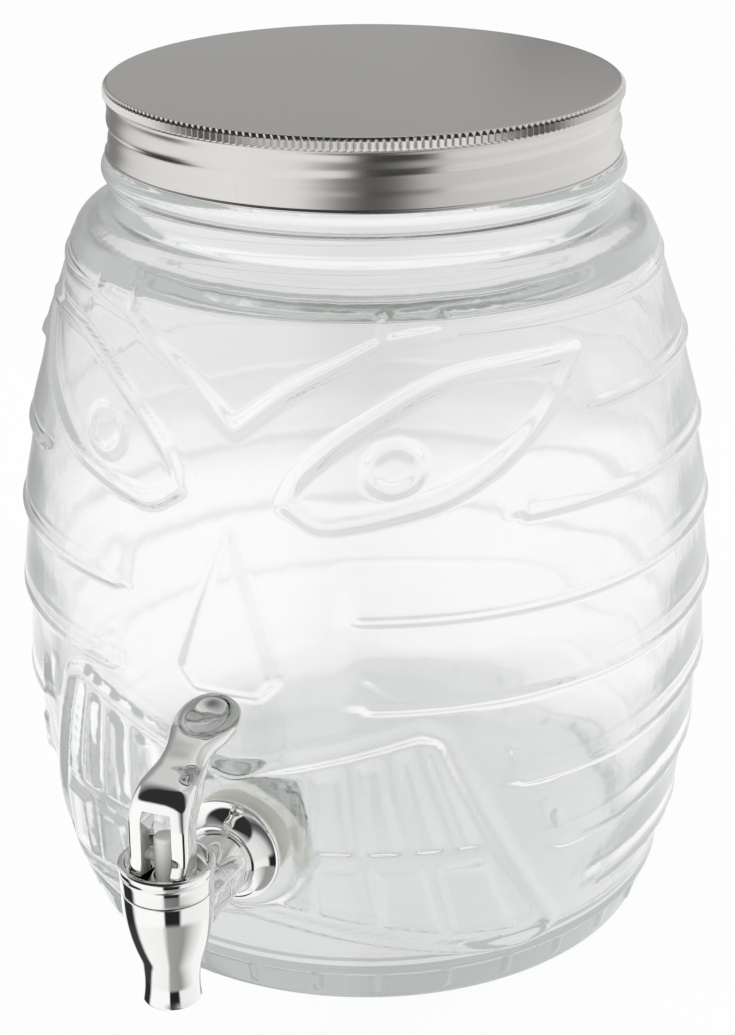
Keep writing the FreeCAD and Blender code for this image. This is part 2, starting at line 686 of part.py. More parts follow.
def make_bonnet():
    """Collar screwed into the body: rim, floor for the lever, and a spigot that clamps the seal."""
    bonnet = body("tap_bonnet")
    inner = S.bonnet_radius - S.bonnet_wall
    under = BONNET_FLOOR - S.bonnet_plate
    clamp = LEDGE + S.seal_flange
    section = outline(plane_sketch(bonnet, "bonnet_section", "XZ_Plane"), [
        (S.stem_radius + S.stem_play, under),
        (S.spigot_radius - S.spigot_wall, under),
        (S.spigot_radius - S.spigot_wall, clamp),
        (S.spigot_radius, clamp),
        (S.spigot_radius, SEAM),
        (S.bonnet_radius, SEAM),
        (S.bonnet_radius, BONNET_RIM - S.bonnet_round, S.bonnet_round),
        (S.bonnet_radius - S.bonnet_round, BONNET_RIM),
        (inner, BONNET_RIM),
        (inner, BONNET_FLOOR),
        (S.stem_radius + S.stem_play, BONNET_FLOOR),
    ])
    turned(bonnet, section)
    place(bonnet, along=-TAP_REACH)
    return bonnet


def make_seal():
    """Soft seal: a clamped edge, a conical bellows, and the plug that shuts the seat."""
    seal = body("seat_seal")
    edge = S.spigot_radius - S.spigot_play
    clamp = LEDGE + S.seal_flange
    heel = VALVE_SEAT + S.plug_thick
    outer = S.chamber_radius - S.seal_play
    stem = S.stem_radius + S.spigot_play
    section = outline(plane_sketch(seal, "seal_section", "XZ_Plane"), [
        (0, VALVE_SEAT),
        (S.plug_radius, VALVE_SEAT),
        (S.plug_radius, heel),
        (S.plug_waist, heel + S.seal_wall),
        (outer, LEDGE - S.seal_wall),
        (outer, LEDGE),
        (edge, LEDGE),
        (edge, clamp),
        (outer - S.seal_wall, clamp),
        (outer - S.seal_wall, LEDGE - S.seal_wall),
        (stem, heel + 2 * S.seal_wall),
        (stem, heel),
        (0, heel),
    ])
    turned(seal, section)
    place(seal, along=-TAP_REACH)
    return seal


def make_stem():
    """Stem that lifts the plug, with two trunnions for the lever."""
    stem = body("tap_stem")
    low = VALVE_SEAT + S.plug_thick
    top = BONNET_FLOOR + S.stem_rise
    section = outline(plane_sketch(stem, "stem_section", "XZ_Plane"), [
        (0, low),
        (S.stem_radius, low),
        (S.stem_radius, top - S.stem_chamfer),
        (S.stem_radius - S.stem_chamfer, top),
        (0, top),
    ])
    turned(stem, section)
    pins = ring(plane_sketch(stem, "stem_pins", "YZ_Plane"), 0, PIVOT, S.pin_radius)
    pad(stem, pins, 2 * S.pin_half, both=True)
    place(stem, along=-TAP_REACH)
    return stem


def foot_corner(tilt):
    """Point of the foot that bears on the floor at a tilt, forward and up from the trunnion axis.

    The foot is the involute of a circle of radius foot_lead: it bears that far ahead of the
    axis at every tilt, so the stem rises in step with the lever.
    """
    drop = S.foot_drop - S.foot_play + S.foot_lead * math.radians(tilt)
    cosine, sine = math.cos(math.radians(tilt)), math.sin(math.radians(tilt))
    return S.foot_lead * cosine + drop * sine, S.foot_lead * sine - drop * cosine


def make_lever():
    """Lever: two legs astride the stem, a block over them, and a handle that ends in a paddle."""
    lever = body("tap_lever")
    swing = sheet.get("lever_swing")
    toe = []
    for step in range(FOOT_ARCS + 1):
        tilt = swing * step / FOOT_ARCS
        ahead, up = foot_corner(tilt)
        if step == FOOT_ARCS:
            toe.append((-ahead, up))
            continue
        mean = S.foot_drop - S.foot_play + S.foot_lead * math.radians(tilt + swing / FOOT_ARCS / 2)
        toe.append((-ahead, up, -mean))
    drop = S.foot_drop - S.foot_play
    thick = S.paddle_thick
    side = outline(plane_sketch(lever, "lever_side", "YZ_Plane"), [
        (S.leg_back, -drop),
        *toe,
        (-S.leg_front, 0),
        (-S.leg_front, S.window_top - S.crown_drop, -S.crown_round),
        (-S.leg_front + S.crown_run, S.crown_height, S.saddle_round),
        (S.neck_back, S.neck_up, -S.handle_round),
        (S.paddle_back, S.paddle_up, S.paddle_round),
        (S.tip_back, S.tip_up, -S.tip_round),
        (S.tip_back - S.tip_lean, S.tip_up - S.tip_thick),
        (S.paddle_back, S.paddle_up - thick, S.handle_round),
        (S.neck_back, S.neck_up - thick - S.neck_extra, S.under_round),
        (S.leg_back, S.window_top - S.under_drop),
    ])
    pad(lever, side, S.paddle_width + 2 * S.cut_over, both=True)
    plan = plane_sketch(lever, "lever_plan", "XY_Plane")
    half, waist, wide = S.lever_width / 2, S.neck_width / 2, S.paddle_width / 2
    outline(plan, [
        (-2 * half, -2 * S.tip_back),
        (2 * half, -2 * S.tip_back),
        (2 * half, 2 * S.tip_back),
        (-2 * half, 2 * S.tip_back),
    ])
    outline(plan, [
        (-half, -2 * S.leg_front),
        (half, -2 * S.leg_front),
        (half, 0, S.leg_round),
        (waist, S.neck_back, -S.handle_round),
        (wide, S.paddle_back, wide),
        (0, S.tip_back + S.cut_over, wide),
        (-wide, S.paddle_back, -S.handle_round),
        (-waist, S.neck_back, S.leg_round),
        (-half, 0),
    ])
    pocket(lever, plan, 8 * S.tip_up, both=True)
    window = outline(plane_sketch(lever, "lever_window", "XZ_Plane"), [
        (-S.window_width / 2, -2 * S.foot_drop),
        (S.window_width / 2, -2 * S.foot_drop),
        (S.window_width / 2, S.window_top),
        (-S.window_width / 2, S.window_top),
    ])
    pocket(lever, window, 6 * S.tip_back, both=True)
    sockets = ring(plane_sketch(lever, "lever_sockets", "YZ_Plane"), 0, 0, S.pin_radius + S.pin_play)
    pocket(lever, sockets, 2 * (S.pin_half + S.pin_end_play), both=True)
    thumb = lever.newObject("PartDesign::SubtractiveEllipsoid", "lever_thumb")
    bind(thumb, "Radius1", 2 * S.thumb_depth)
    bind(thumb, "Radius2", S.thumb_width)
    bind(thumb, "Radius3", S.thumb_length)
    thumb.Angle1 = -90
    thumb.Angle2 = 90
    thumb.Angle3 = 360
    place(thumb, along=S.paddle_back, up=S.paddle_up + S.thumb_depth)
    place(lever, along=-TAP_REACH, up=PIVOT)
    return lever


NODES = [
    make_jar(),
    make_lid(),
    make_liner(),
    make_tap_body(),
    make_flange(),
    make_gasket("outer_gasket", FLANGE_FACE),
    make_gasket("inner_gasket", SEAT_BACK),
    make_nut(),
    make_bonnet(),
    make_seal(),
    make_stem(),
    make_lever(),
]
doc.recompute()

faults = [item.Name for item in doc.Objects if {"Invalid", "Error"} & set(item.State)]
for node in NODES:
    shape = node.Shape
    if shape.isNull() or not shape.isValid() or len(shape.Solids) != 1:
        faults.append(node.Label)
if faults:
    raise RuntimeError("not built: " + ", ".join(faults))

os.makedirs("parts", exist_ok=True)
for node in NODES:
    node.Shape.exportStep(f"parts/{node.Label}.step")
    box = node.Shape.BoundBox
    print(f"{node.Label:14s} volume {node.Shape.Volume:10.1f}  x {box.XMin:8.2f} {box.XMax:8.2f}"
          f"  y {box.YMin:8.2f} {box.YMax:8.2f}  z {box.ZMin:8.2f} {box.ZMax:8.2f}")
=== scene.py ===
"""Glass, lid and tap of a dispenser jar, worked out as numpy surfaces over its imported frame.

Shapes are worked out in millimetres and put into the meshes in metres. The face and the tap look along -Y.
"""
import math

import bmesh
import bpy
import numpy as np
from bpy.props import FloatProperty, FloatVectorProperty, IntProperty, PointerProperty
from mathutils import Matrix, Vector


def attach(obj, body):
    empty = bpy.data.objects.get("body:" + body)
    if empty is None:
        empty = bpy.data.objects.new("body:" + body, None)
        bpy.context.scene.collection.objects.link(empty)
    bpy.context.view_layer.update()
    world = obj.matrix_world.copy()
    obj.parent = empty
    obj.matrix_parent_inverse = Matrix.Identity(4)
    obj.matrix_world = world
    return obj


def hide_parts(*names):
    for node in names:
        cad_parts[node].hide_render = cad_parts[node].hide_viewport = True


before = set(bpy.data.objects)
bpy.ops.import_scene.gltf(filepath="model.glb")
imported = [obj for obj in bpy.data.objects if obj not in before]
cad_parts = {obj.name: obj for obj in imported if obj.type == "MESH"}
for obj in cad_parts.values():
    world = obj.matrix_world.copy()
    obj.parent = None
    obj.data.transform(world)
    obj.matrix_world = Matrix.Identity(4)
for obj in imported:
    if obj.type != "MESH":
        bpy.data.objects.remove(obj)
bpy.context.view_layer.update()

bl_info = {
    "name": "Dispenser jar surfaces",
    "version": (1, 0, 0),
    "blender": (4, 5, 0),
    "location": "3D View > Sidebar > Jar",
    "description": "Moulded glass, pressed lid and lever tap of a dispenser jar",
    "category": "Object",
}

MM = 0.001

# Sizes shared by several pieces, millimetres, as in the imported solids.
BELLY_RADIUS, BELLY_HEIGHT, BELLY_ARC, GLASS_WALL = 97.6, 93.0, 310.0, 4.6
SHOULDER, INSIDE_FLOOR, FOOT_HOLLOW = 196.0, 9.0, 3.5
LID_TOP, LID_UNDER, LID_EDGE = 238.0, 237.4, 66.5
THREAD_LEAD = 6.0
TAP_REACH, TAP_HEIGHT = 135.3, 54.0
TAP_HOLE, SEAT_OUTSIDE, SEAT_INSIDE, SEAT_EDGE, SEAT_BLEND = 8.6, 97.2, 87.0, 22.5, 5.5
PIVOT, FOOT_ROLL, FOOT_DROP, LEVER_TRAVEL = 72.3, 2.6, 4.66, 48.0

# Bands, from the foot up: height, degrees from the face to their ends, and droop towards those ends.
BAND_HEIGHTS = 30.0 + 23.15 * np.arange(8)
BAND_STARTS = np.array([66.0, 55.0, 46.5, 22.0, 20.5, 47.5, 63.0, 37.0])
BAND_DROPS = np.array([4.0, 6.0, 4.6, 1.6, 0.8, 0.0, 0.0, 0.0])
# A band droops from DROP_FROM degrees, over DROP_SPAN. Its lip is sharper below than above, where a slope
# starts from a share of its rise. The top band is lower.
DROP_FROM, DROP_SPAN, LIP_UNDER, LIP_OVER = 100.0, 40.0, 1.3, 0.9
SLOPE_SHARE, SLOPE_HEIGHT, SLOPE_FADE, TOP_BAND_SHARE = 0.62, 17.0, 8.0, 0.6
# The ring round the foot: height, half width and rise, and the same for its upright ticks.
RING_HEIGHT, RING_HALF, RING_RISE = 11.5, 1.6, 0.9
TICK_HEIGHTS, TICK_HALF, TICK_RISE = (3.0, 13.0), 1.3, 0.8
# Degrees each side of the tap that hold the face, and from one tick of the foot to the next.
FACE_HALF, TICK_STEP = 72.0, 12.0
# Millimetres in one degree round the belly and round the foot.
DEGREE_RUN, FOOT_DEGREE_RUN = 1.66, 1.5

# The lid's rolled groove: height and direction in degrees of its middle, depth and half width.
GROOVE_HEIGHT, GROOVE_TURN, GROOVE_DEPTH, GROOVE_HALF = 227.5, 21.5, 0.95, 1.7

LENGTH = {"unit": "LENGTH", "subtype": "DISTANCE"}
ANGLE = {"subtype": "ANGLE"}
COLOUR = {"subtype": "COLOR", "min": 0, "max": 1}


class JarSettings(bpy.types.PropertyGroup):
    """Sizes and colour of the moulded glass."""

    line_rise: FloatProperty(
        name="Line rise", description="How far the lines of the face stand out", default=0.0017, **LENGTH)
    line_half: FloatProperty(
        name="Line half width", description="Half the width of a line of the face", default=0.0021, **LENGTH)
    band_rise: FloatProperty(
        name="Band rise", description="How far the bands round the jar stand out", default=0.0016, **LENGTH)
    band_half: FloatProperty(
        name="Band half width", description="Half the width of a band", default=0.0022, **LENGTH)
    tooth_rise: FloatProperty(
        name="Tooth rise", description="How far the teeth stand out", default=0.0016, **LENGTH)
    tint: FloatVectorProperty(
        name="Glass tint", description="What is left of white light in deep glass",
        default=(0.85, 0.90, 0.895), **COLOUR)


class LidSettings(bpy.types.PropertyGroup):
    """Sizes and colour of the pressed lid."""

    knurls: IntProperty(name="Knurls", description="Teeth round the top edge", default=230, min=24)
    knurl_depth: FloatProperty(
        name="Knurl depth", description="Depth of a tooth of the top edge", default=0.00075, **LENGTH)
    thread_lead: FloatProperty(
        name="Thread lead", description="Rise of the thread in one turn", default=THREAD_LEAD * MM, **LENGTH)
    steel: FloatVectorProperty(
        name="Steel", description="Colour of the satin steel", default=(0.66, 0.645, 0.62), **COLOUR)


class TapSettings(bpy.types.PropertyGroup):
    """Colours of the tap."""

    chrome: FloatVectorProperty(
        name="Chrome", description="Colour of the plated metal", default=(0.84, 0.835, 0.825), **COLOUR)
    silicone: FloatVectorProperty(
        name="Silicone", description="Colour of gaskets and seal", default=(0.86, 0.83, 0.76), **COLOUR)
    plastic: FloatVectorProperty(
        name="Plastic", description="Colour of the stem and the nut", default=(0.93, 0.92, 0.885), **COLOUR)


class StageSettings(bpy.types.PropertyGroup):
    """Camera and light."""

    distance: FloatProperty(
        name="Distance", description="From the middle of the jar to the camera", default=0.6675, **LENGTH)
    height: FloatProperty(name="Height", description="Height of the point seen", default=0.1088, **LENGTH)
    turn: FloatProperty(
        name="Turn", description="Camera direction, towards +X", default=math.radians(21.5), **ANGLE)
    rise: FloatProperty(
        name="Rise", description="Camera direction above the floor", default=math.radians(23.3), **ANGLE)
    roll: FloatProperty(name="Roll", description="Lean of the camera", default=math.radians(-0.3), **ANGLE)
    lens: FloatProperty(name="Lens", description="Focal length on a 36 mm frame", default=80.0, unit="CAMERA")
    floor: FloatVectorProperty(
        name="Floor", description="Colour of the floor", default=(0.93, 0.93, 0.93), **COLOUR)


def arithmetic(operation, swapped=False):
    """A method that adds one Math node; swapped puts the other number first."""
    def apply(value, other):
        pair = (other, value) if swapped else (value, other)
        return value.paint.add("Math", dict(enumerate(pair)), operation=operation)
    return apply


class Value:
    """A shader socket in Python arithmetic: each operator adds one Math node."""

    def __init__(self, paint, socket):
        self.paint = paint
        self.socket = socket

    __add__ = __radd__ = arithmetic("ADD")
    __mul__ = __rmul__ = arithmetic("MULTIPLY")
    __sub__, __rsub__ = arithmetic("SUBTRACT"), arithmetic("SUBTRACT", True)
    __truediv__, __rtruediv__ = arithmetic("DIVIDE"), arithmetic("DIVIDE", True)
    __gt__ = arithmetic("GREATER_THAN")

    def math(self, operation, *others):
        """Any other operation on this value and others."""
        return self.paint.add("Math", dict(enumerate((self, *others))), operation=operation)

    def also(self, output):
        """Another output of the same node."""
        return Value(self.paint, self.socket.node.outputs[output])


class Paint:
    """A node tree that is filled one node at a time."""

    def __init__(self, owner):
        owner.use_nodes = True
        self.tree = owner.node_tree
        self.tree.nodes.clear()

    def add(self, kind, inputs=None, output=0, **settings):
        """One shader node: its settings are set first, then the values or links of its sockets."""
        node = self.tree.nodes.new("ShaderNode" + kind)
        for key, value in settings.items():
            setattr(node, key, value)
        for key, value in (inputs or {}).items():
            if isinstance(value, Value):
                self.tree.links.new(value.socket, node.inputs[key])
            else:
                node.inputs[key].default_value = value
        return Value(self, node.outputs[output])

    def axes(self, coordinates="Object"):
        """The three parts of a place."""
        spot = self.add("TexCoord", output=coordinates)
        x = self.add("SeparateXYZ", {0: spot}, "X")
        return x, x.also("Y"), x.also("Z")

    def noise(self, scale, detail=2.0, rough=0.5, stretch=(1.0, 1.0, 1.0)):
        """Noise from 0 to 1 on Object coordinates, stretched along the axes."""
        spot = self.add("TexCoord", output="Object")
        spot = self.add("Mapping", {"Vector": spot, "Scale": stretch})
        return self.add("TexNoise", {
            "Vector": spot, "Scale": scale, "Detail": detail, "Roughness": rough})

    def ramp(self, turn, stops):
        """Grey levels round a full turn, given at degrees from -180 to 180."""
        tone = self.add("ValToRGB", {"Fac": turn})
        steps = tone.socket.node.color_ramp.elements
        while len(steps) < len(stops):
            steps.new(1.0)
        for step, (degrees, grey) in zip(steps, stops):
            step.position = (degrees + 180) / 360
            step.color = (grey, grey, grey, 1.0)
        return tone

    def rise(self, value, low, high):
        """Smooth step of a value from 0 at low to 1 at high."""
        sockets = {"Value": value, "From Min": low, "From Max": high}
        return self.add("MapRange", sockets, interpolation_type="SMOOTHSTEP")

    def tones(self, colour, least, share):
        """A colour that varies from a darker tone of itself to its full tone."""
        dark = tuple(least * part for part in colour)
        sockets = {"Factor": share, "A": (*dark, 1.0), "B": (*colour, 1.0)}
        return self.add("Mix", sockets, "Result", data_type="RGBA")

    def bump(self, height, strength, distance):
        """A normal tilted by a height map."""
        return self.add("Bump", {"Strength": strength, "Distance": distance, "Height": height})

    def shader(self, **inputs):
        """The principled shader; an underscore in a name stands for a space."""
        named = {key.replace("_", " "): value for key, value in inputs.items()}
        return self.add("BsdfPrincipled", named)

    def blend(self, share, first, second):
        """Two shaders mixed by a share of the second."""
        return self.add("MixShader", {0: share, 1: first, 2: second})

    def end(self, kind="OutputMaterial", **shaders):
        """The output node that ends the tree."""
        output = self.tree.nodes.new("ShaderNode" + kind)
        for key, shader in shaders.items():
            self.tree.links.new(shader.socket, output.inputs[key])


def material(name):
    """A new material and its paint."""
    made = bpy.data.materials.new(name)
    return made, Paint(made)


def moulded_glass(tint):
    """Clear pressed glass: slow waves of the mould in its normal, and a tint that deepens with its thickness.

    The inner wall is hazy, less so at the shoulder. Light on its way to matt surfaces passes the glass, and a
    ray turned back in the wall three times ends in a painted glow of pale grey, painted light in place of
    what deeper reflections would bring.
    """
    made, paint = material("moulded_glass")
    slow = paint.noise(26.0, 1.0, stretch=(1, 1, 0.6))
    fine = paint.noise(120.0, stretch=(1, 1, 0.7))
    bump = paint.bump(slow + fine * 0.16, 0.5, 0.0009)
    x, y, z = paint.axes()
    up = z - BELLY_HEIGHT * MM
    mid_wall = (BELLY_RADIUS - BELLY_ARC - GLASS_WALL / 2) * MM
    within = ((BELLY_ARC * MM) ** 2 - up * up).math("SQRT") + mid_wall > (x * x + y * y).math("SQRT")
    haze, cleared, fade_from, fade_to = 0.105, 0.055, 0.07, 0.1
    haze = within * (haze - cleared * paint.rise(up, fade_from, fade_to))
    depth = paint.add("VolumeAbsorption", {"Color": (*tint, 1.0), "Density": 8.0})
    glass = paint.shader(Base_Color=(1.0, 1.0, 1.0, 1.0), Roughness=fine * 0.012 + haze, IOR=1.48,
                         Transmission_Weight=1.0, Normal=bump)
    shadow = paint.add("LightPath", output="Is Shadow Ray")
    clear = paint.add("BsdfTransparent", {"Color": (0.92, 0.94, 0.94, 1.0)})
    # Painted glow: pale grey light given to rays turned back in the wall three times, in place of deeper
    # reflections
    painted_glow = paint.add("Emission", {"Color": (0.52, 0.53, 0.525, 1.0)})
    inside = paint.blend(shadow.also("Glossy Depth") > 2.5, glass, painted_glow)
    passing = shadow.math("MAXIMUM", shadow.also("Is Diffuse Ray"))
    paint.end(Surface=paint.blend(passing, inside, clear), Volume=depth)
    return made


def satin_steel(colour):
    """Rolled steel: straight grain on the top, grain round the skirt, small marks in its gloss."""
    made, paint = material("satin_steel")
    top = paint.axes()[2] > LID_UNDER * MM
    flat = paint.noise(34.0, 3.0, 0.6, (1.0, 46.0, 1.0))
    round_grain = paint.noise(40.0, 3.0, 0.6, (1.0, 1.0, 60.0))
    grain = flat * top + round_grain * (1 - top)
    cloud = paint.noise(22.0)
    paint.end(Surface=paint.shader(
        Base_Color=paint.tones(colour, 0.93, grain), Metallic=1.0,
        Roughness=0.06 + grain * 0.04 + cloud * 0.02 + (1 - top) * 0.12,
        Normal=paint.bump(grain, 0.08, 0.00008)))
    return made


def mirror_chrome(colour):
    """Bright plating over a polished casting: a faint orange-peel wave and wiped haze."""
    made, paint = material("mirror_chrome")
    peel = paint.noise(210.0, 1.0)
    haze = paint.noise(60.0, 3.0)
    paint.end(Surface=paint.shader(
        Base_Color=paint.tones(colour, 0.97, haze), Metallic=1.0, Roughness=0.02 + haze * 0.035,
        Normal=paint.bump(peel, 0.06, 0.0003)))
    return made


def soft_silicone(name, colour, grain):
    """Moulded silicone or foam: a fine bloom, small pores and a slight change of colour."""
    made, paint = material(name)
    bloom = paint.noise(90.0, 3.0)
    pores = paint.noise(grain)
    paint.end(Surface=paint.shader(
        Base_Color=paint.tones(colour, 0.9, bloom), Roughness=0.5 + bloom * 0.15,
        Normal=paint.bump(pores, 0.2, 0.0002),
        Subsurface_Weight=0.15, Subsurface_Radius=(0.004, 0.003, 0.002)))
    return made


def moulded_plastic(colour):
    """Injection-moulded plastic: soft gloss with fine spark-eroded grain."""
    made, paint = material("moulded_plastic")
    grain = paint.noise(900.0)
    shade = paint.noise(70.0)
    paint.end(Surface=paint.shader(
        Base_Color=paint.tones(colour, 0.94, shade), Roughness=0.36 + grain * 0.12,
        Normal=paint.bump(grain, 0.12, 0.00008)))
    return made


def trace(corners, step=0.2):
    """Points along straight runs and arcs; a corner's third number is the radius of the arc after it.

    An arc is its centre plus radius times (cosine, sine), turning left where the radius is positive.
    """
    runs = []
    for first, last in zip(corners[:-1], corners[1:]):
        start, end = np.array(first[:2], float), np.array(last[:2], float)
        chord = end - start
        length = math.hypot(*chord)
        if len(first) == 2:
            share = np.linspace(0, 1, max(2, int(length / step) + 1))[:-1, None]
            runs.append(start + share * chord)
            continue
        side = np.array([-chord[1], chord[0]]) / length
        reach = math.sqrt(max(first[2] ** 2 - length ** 2 / 4, 0.0))
        centre = (start + end) / 2 + side * math.copysign(reach, first[2])
        begin, finish = (math.atan2(*(spot - centre)[::-1]) for spot in (start, end))
        sweep = (finish - begin + math.pi) % (2 * math.pi) - math.pi
        angle = np.linspace(0, sweep, max(4, int(abs(sweep * first[2]) / step) + 1))[:-1, None] + begin
        runs.append(centre + abs(first[2]) * np.hstack([np.cos(angle), np.sin(angle)]))
    runs.append(np.array([corners[-1][:2]], float))
    return np.vstack(runs)


def soften(path, reach, closed=False, step=0.1):
    """The path with rounded corners: each point is the mean of its neighbours under a bell curve."""
    run = np.concatenate([[0.0], np.cumsum(np.hypot(*np.diff(path, axis=0).T))])
    spots = np.linspace(0, run[-1], max(8, int(run[-1] / step)) + 1)
    even = np.column_stack([np.interp(spots, run, path[:, axis]) for axis in (0, 1)])
    span = min(max(1, int(2.5 * reach / step)), len(even) - 2)
    weights = np.exp(-0.5 * (np.arange(-span, span + 1) * step / reach) ** 2)
    weights /= weights.sum()
    if closed:
        full = np.vstack([even[-span - 1:-1], even, even[1:span + 1]])
    else:
        full = np.vstack([2 * even[0] - even[span:0:-1], even, 2 * even[-1] - even[-2:-span - 2:-1]])
    return np.column_stack([np.convolve(full[:, axis], weights, "valid") for axis in (0, 1)])


def stations(path, run, turn):
    """Fewer points: steps of equal cost, where run millimetres or turn degrees cost one step."""
    step = np.diff(path, axis=0)
    heading = np.unwrap(np.arctan2(*step.T[::-1]))
    bend = np.degrees(np.abs(np.diff(heading, prepend=heading[0])))
    cost = np.concatenate([[0.0], np.cumsum(np.hypot(*step.T) / run + bend / turn)])
    spots = np.linspace(0, cost[-1], int(math.ceil(cost[-1])) + 1)
    return np.column_stack([np.interp(spots, cost, path[:, axis]) for axis in (0, 1)])


def section(corners, soft, run, turn, closed=False):
    """A turned part's outline, softened at its corners and thinned."""
    path = trace(list(corners) + ([corners[0]] if closed else []))
    path = stations(soften(path, soft, closed), run, turn)
    return path[:-1] if closed else path


def turns(count):
    """That many directions round an axis, in radians."""
    return np.arange(count) * (2 * math.pi / count)


def spin_up(profile, angles, forward=0.0):
    """Outline (radius, height) carried round an upright axis: x = r sin a, y = -forward - r cos a."""
    radius, height = profile.T[..., None]
    return np.stack([radius * np.sin(angles), -forward - radius * np.cos(angles), height + 0 * angles], -1)


def spin_level(profile, angles, height):
    """Outline (radius, distance in front of the jar axis) carried round a level axis along Y."""
    radius, front = profile.T[..., None]
    return np.stack([radius * np.sin(angles), -front + 0 * angles, height + radius * np.cos(angles)], -1)


class Shell:
    """Points and faces gathered from grids, as whole arrays."""

    def __init__(self):
        self.points, self.quads, self.thirds, self.count = [], [], [np.empty((0, 3), int)], 0

    def put(self, points):
        """Adds points and gives their numbers."""
        points = np.asarray(points, float).reshape(-1, 3)
        self.points.append(points)
        self.count += len(points)
        return np.arange(self.count - len(points), self.count)

    def grid(self, points, closed=False, keep=None):
        """Adds a grid of quads, joined round its columns, and round its rows where closed."""
        index = self.put(points).reshape(points.shape[:2])
        self.weave(index, True, closed, keep)
        return index

    def weave(self, index, around=False, closed=False, keep=None):
        """Quads over a grid of point numbers."""
        full = np.vstack([index, index[:1]]) if closed else index
        full = np.hstack([full, full[:, :1]]) if around else full
        quads = np.stack([full[:-1, :-1], full[:-1, 1:], full[1:, 1:], full[1:, :-1]], -1)
        self.quads.append((quads if keep is None else quads[keep]).reshape(-1, 4))

    def fan(self, loop, tip):
        """Closes a loop with triangles to one point."""
        top = np.full(len(loop), self.put([tip])[0])
        self.thirds.append(np.column_stack([loop, np.roll(loop, -1), top]))

    def capped(self, points):
        """A grid joined round its columns, each end closed by a fan to the middle of its ring."""
        index = self.grid(points)
        for row in (0, -1):
            self.fan(index[row], points[row].mean(0))
        return self

    def bridge(self, first, first_turn, second, second_turn):
        """Triangles between two loops: each edge goes to the last point passed on the other loop."""
        first, first_turn = first[np.argsort(first_turn)], np.sort(first_turn)
        second, second_turn = second[np.argsort(second_turn)], np.sort(second_turn)
        other = (np.searchsorted(second_turn, first_turn) - 1) % len(second)
        self.thirds.append(np.column_stack([np.roll(first, 1), first, second[other]]))
        other = (np.searchsorted(first_turn, second_turn, side="right") - 1) % len(first)
        self.thirds.append(np.column_stack([second, np.roll(second, 1), first[other]]))

    def finish(self, name, body, slot, finish, stands_for=(), crease=None):
        """The mesh object: unused points dropped, faces turned outward, riding on its body."""
        points, quads, thirds = (np.vstack(part) for part in (self.points, self.quads, self.thirds))
        used, corners = np.unique(np.concatenate([quads.ravel(), thirds.ravel()]), return_inverse=True)
        starts = np.concatenate([np.arange(len(quads)) * 4, 4 * len(quads) + np.arange(len(thirds)) * 3])
        mesh = bpy.data.meshes.new(name)
        mesh.vertices.add(len(used))
        mesh.vertices.foreach_set("co", (points[used] * MM).ravel())
        mesh.loops.add(len(corners))
        mesh.loops.foreach_set("vertex_index", corners.astype(np.int32))
        mesh.polygons.add(len(starts))
        mesh.polygons.foreach_set("loop_start", starts.astype(np.int32))
        mesh.update(calc_edges=True)
        mesh.validate()
        work = bmesh.new()
        work.from_mesh(mesh)
        bmesh.ops.recalc_face_normals(work, faces=work.faces)
        work.to_mesh(mesh)
        work.free()
        mesh.shade_smooth()
        if crease:
            mesh.set_sharp_from_angle(angle=math.radians(crease))
        mesh.materials.append(finish)
        made = bpy.data.objects.new(name, mesh)
        bpy.context.scene.collection.objects.link(made)
        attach(made, body)
        if stands_for:
            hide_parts(*stands_for)
        return made


def turned_ring(name, corners, smooth, count, slot, finish, node, level=None):
    """A ring of the tap turned on a lathe: upright on the tap's axis, or level along the shank."""
    outline = section(corners, *smooth, closed=True)
    shell, angles = Shell(), turns(count)
    spin = spin_up(outline, angles, TAP_REACH) if level is None else spin_level(outline, angles, level)
    shell.grid(spin, closed=True)
    shell.finish(name, "jar", slot, finish, (node,))


def belly(height):
    """Radius of the plain glass at a height: an arc of BELLY_ARC about its widest place."""
    return BELLY_RADIUS - BELLY_ARC + np.sqrt(BELLY_ARC ** 2 - (height - BELLY_HEIGHT) ** 2)


def ease(share):
    """Smooth step from 0 to 1."""
    share = np.clip(share, 0.0, 1.0)
    return share * share * (3 - 2 * share)


def bell(share):
    """Rounded rise, the squared cosine: 1 at 0, and 0 from 1 on either side."""
    return np.cos(np.clip(share, -1, 1) * math.pi / 2) ** 2


def push_out(grid, by, angles):
    """Moves the points of a turned grid out from its upright axis."""
    grid[..., 0] += by * np.sin(angles)
    grid[..., 1] -= by * np.cos(angles)


def curve(points, steps=8):
    """Smooth curve through points: each span is the cubic that its four nearest points give."""
    ends = np.asarray(points, float)
    ends = np.vstack([2 * ends[0] - ends[1], ends, 2 * ends[-1] - ends[-2]])
    share = np.linspace(0, 1, steps, endpoint=False)[:, None]
    a, b, c, d = (ends[k:len(ends) - 3 + k, None] for k in range(4))
    spans = 0.5 * (2 * b + (c - a) * share + (2 * a - 5 * b + 4 * c - d) * share ** 2
                   + (3 * b - a - 3 * c + d) * share ** 3)
    return np.vstack([spans.reshape(-1, ends.shape[1]), ends[-2]])


def flatten(points):
    """(degrees from the middle of the face, height) unrolled to millimetres across and up."""
    turn, height = np.asarray(points, float).T
    return np.column_stack([np.radians(turn) * belly(height), height])


def away(path, spots):
    """Distance from each spot to the nearest point of a path of straight runs."""
    start, run = path[:-1], np.diff(path, axis=0)
    share = ((spots[:, None] - start) * run).sum(2) / np.maximum((run ** 2).sum(1), 1e-9)
    gap = spots[:, None] - start - np.clip(share, 0, 1)[..., None] * run
    return np.sqrt((gap ** 2).sum(2).min(1))


def depth_in(corners, spots):
    """How deep each spot lies in a convex, anticlockwise outline: the least depth behind its sides."""
    run = np.roll(corners, -1, axis=0) - corners
    inward = np.column_stack([-run[:, 1], run[:, 0]]) / np.hypot(*run.T)[:, None]
    return ((spots[:, None] - corners) * inward).sum(2).min(1)


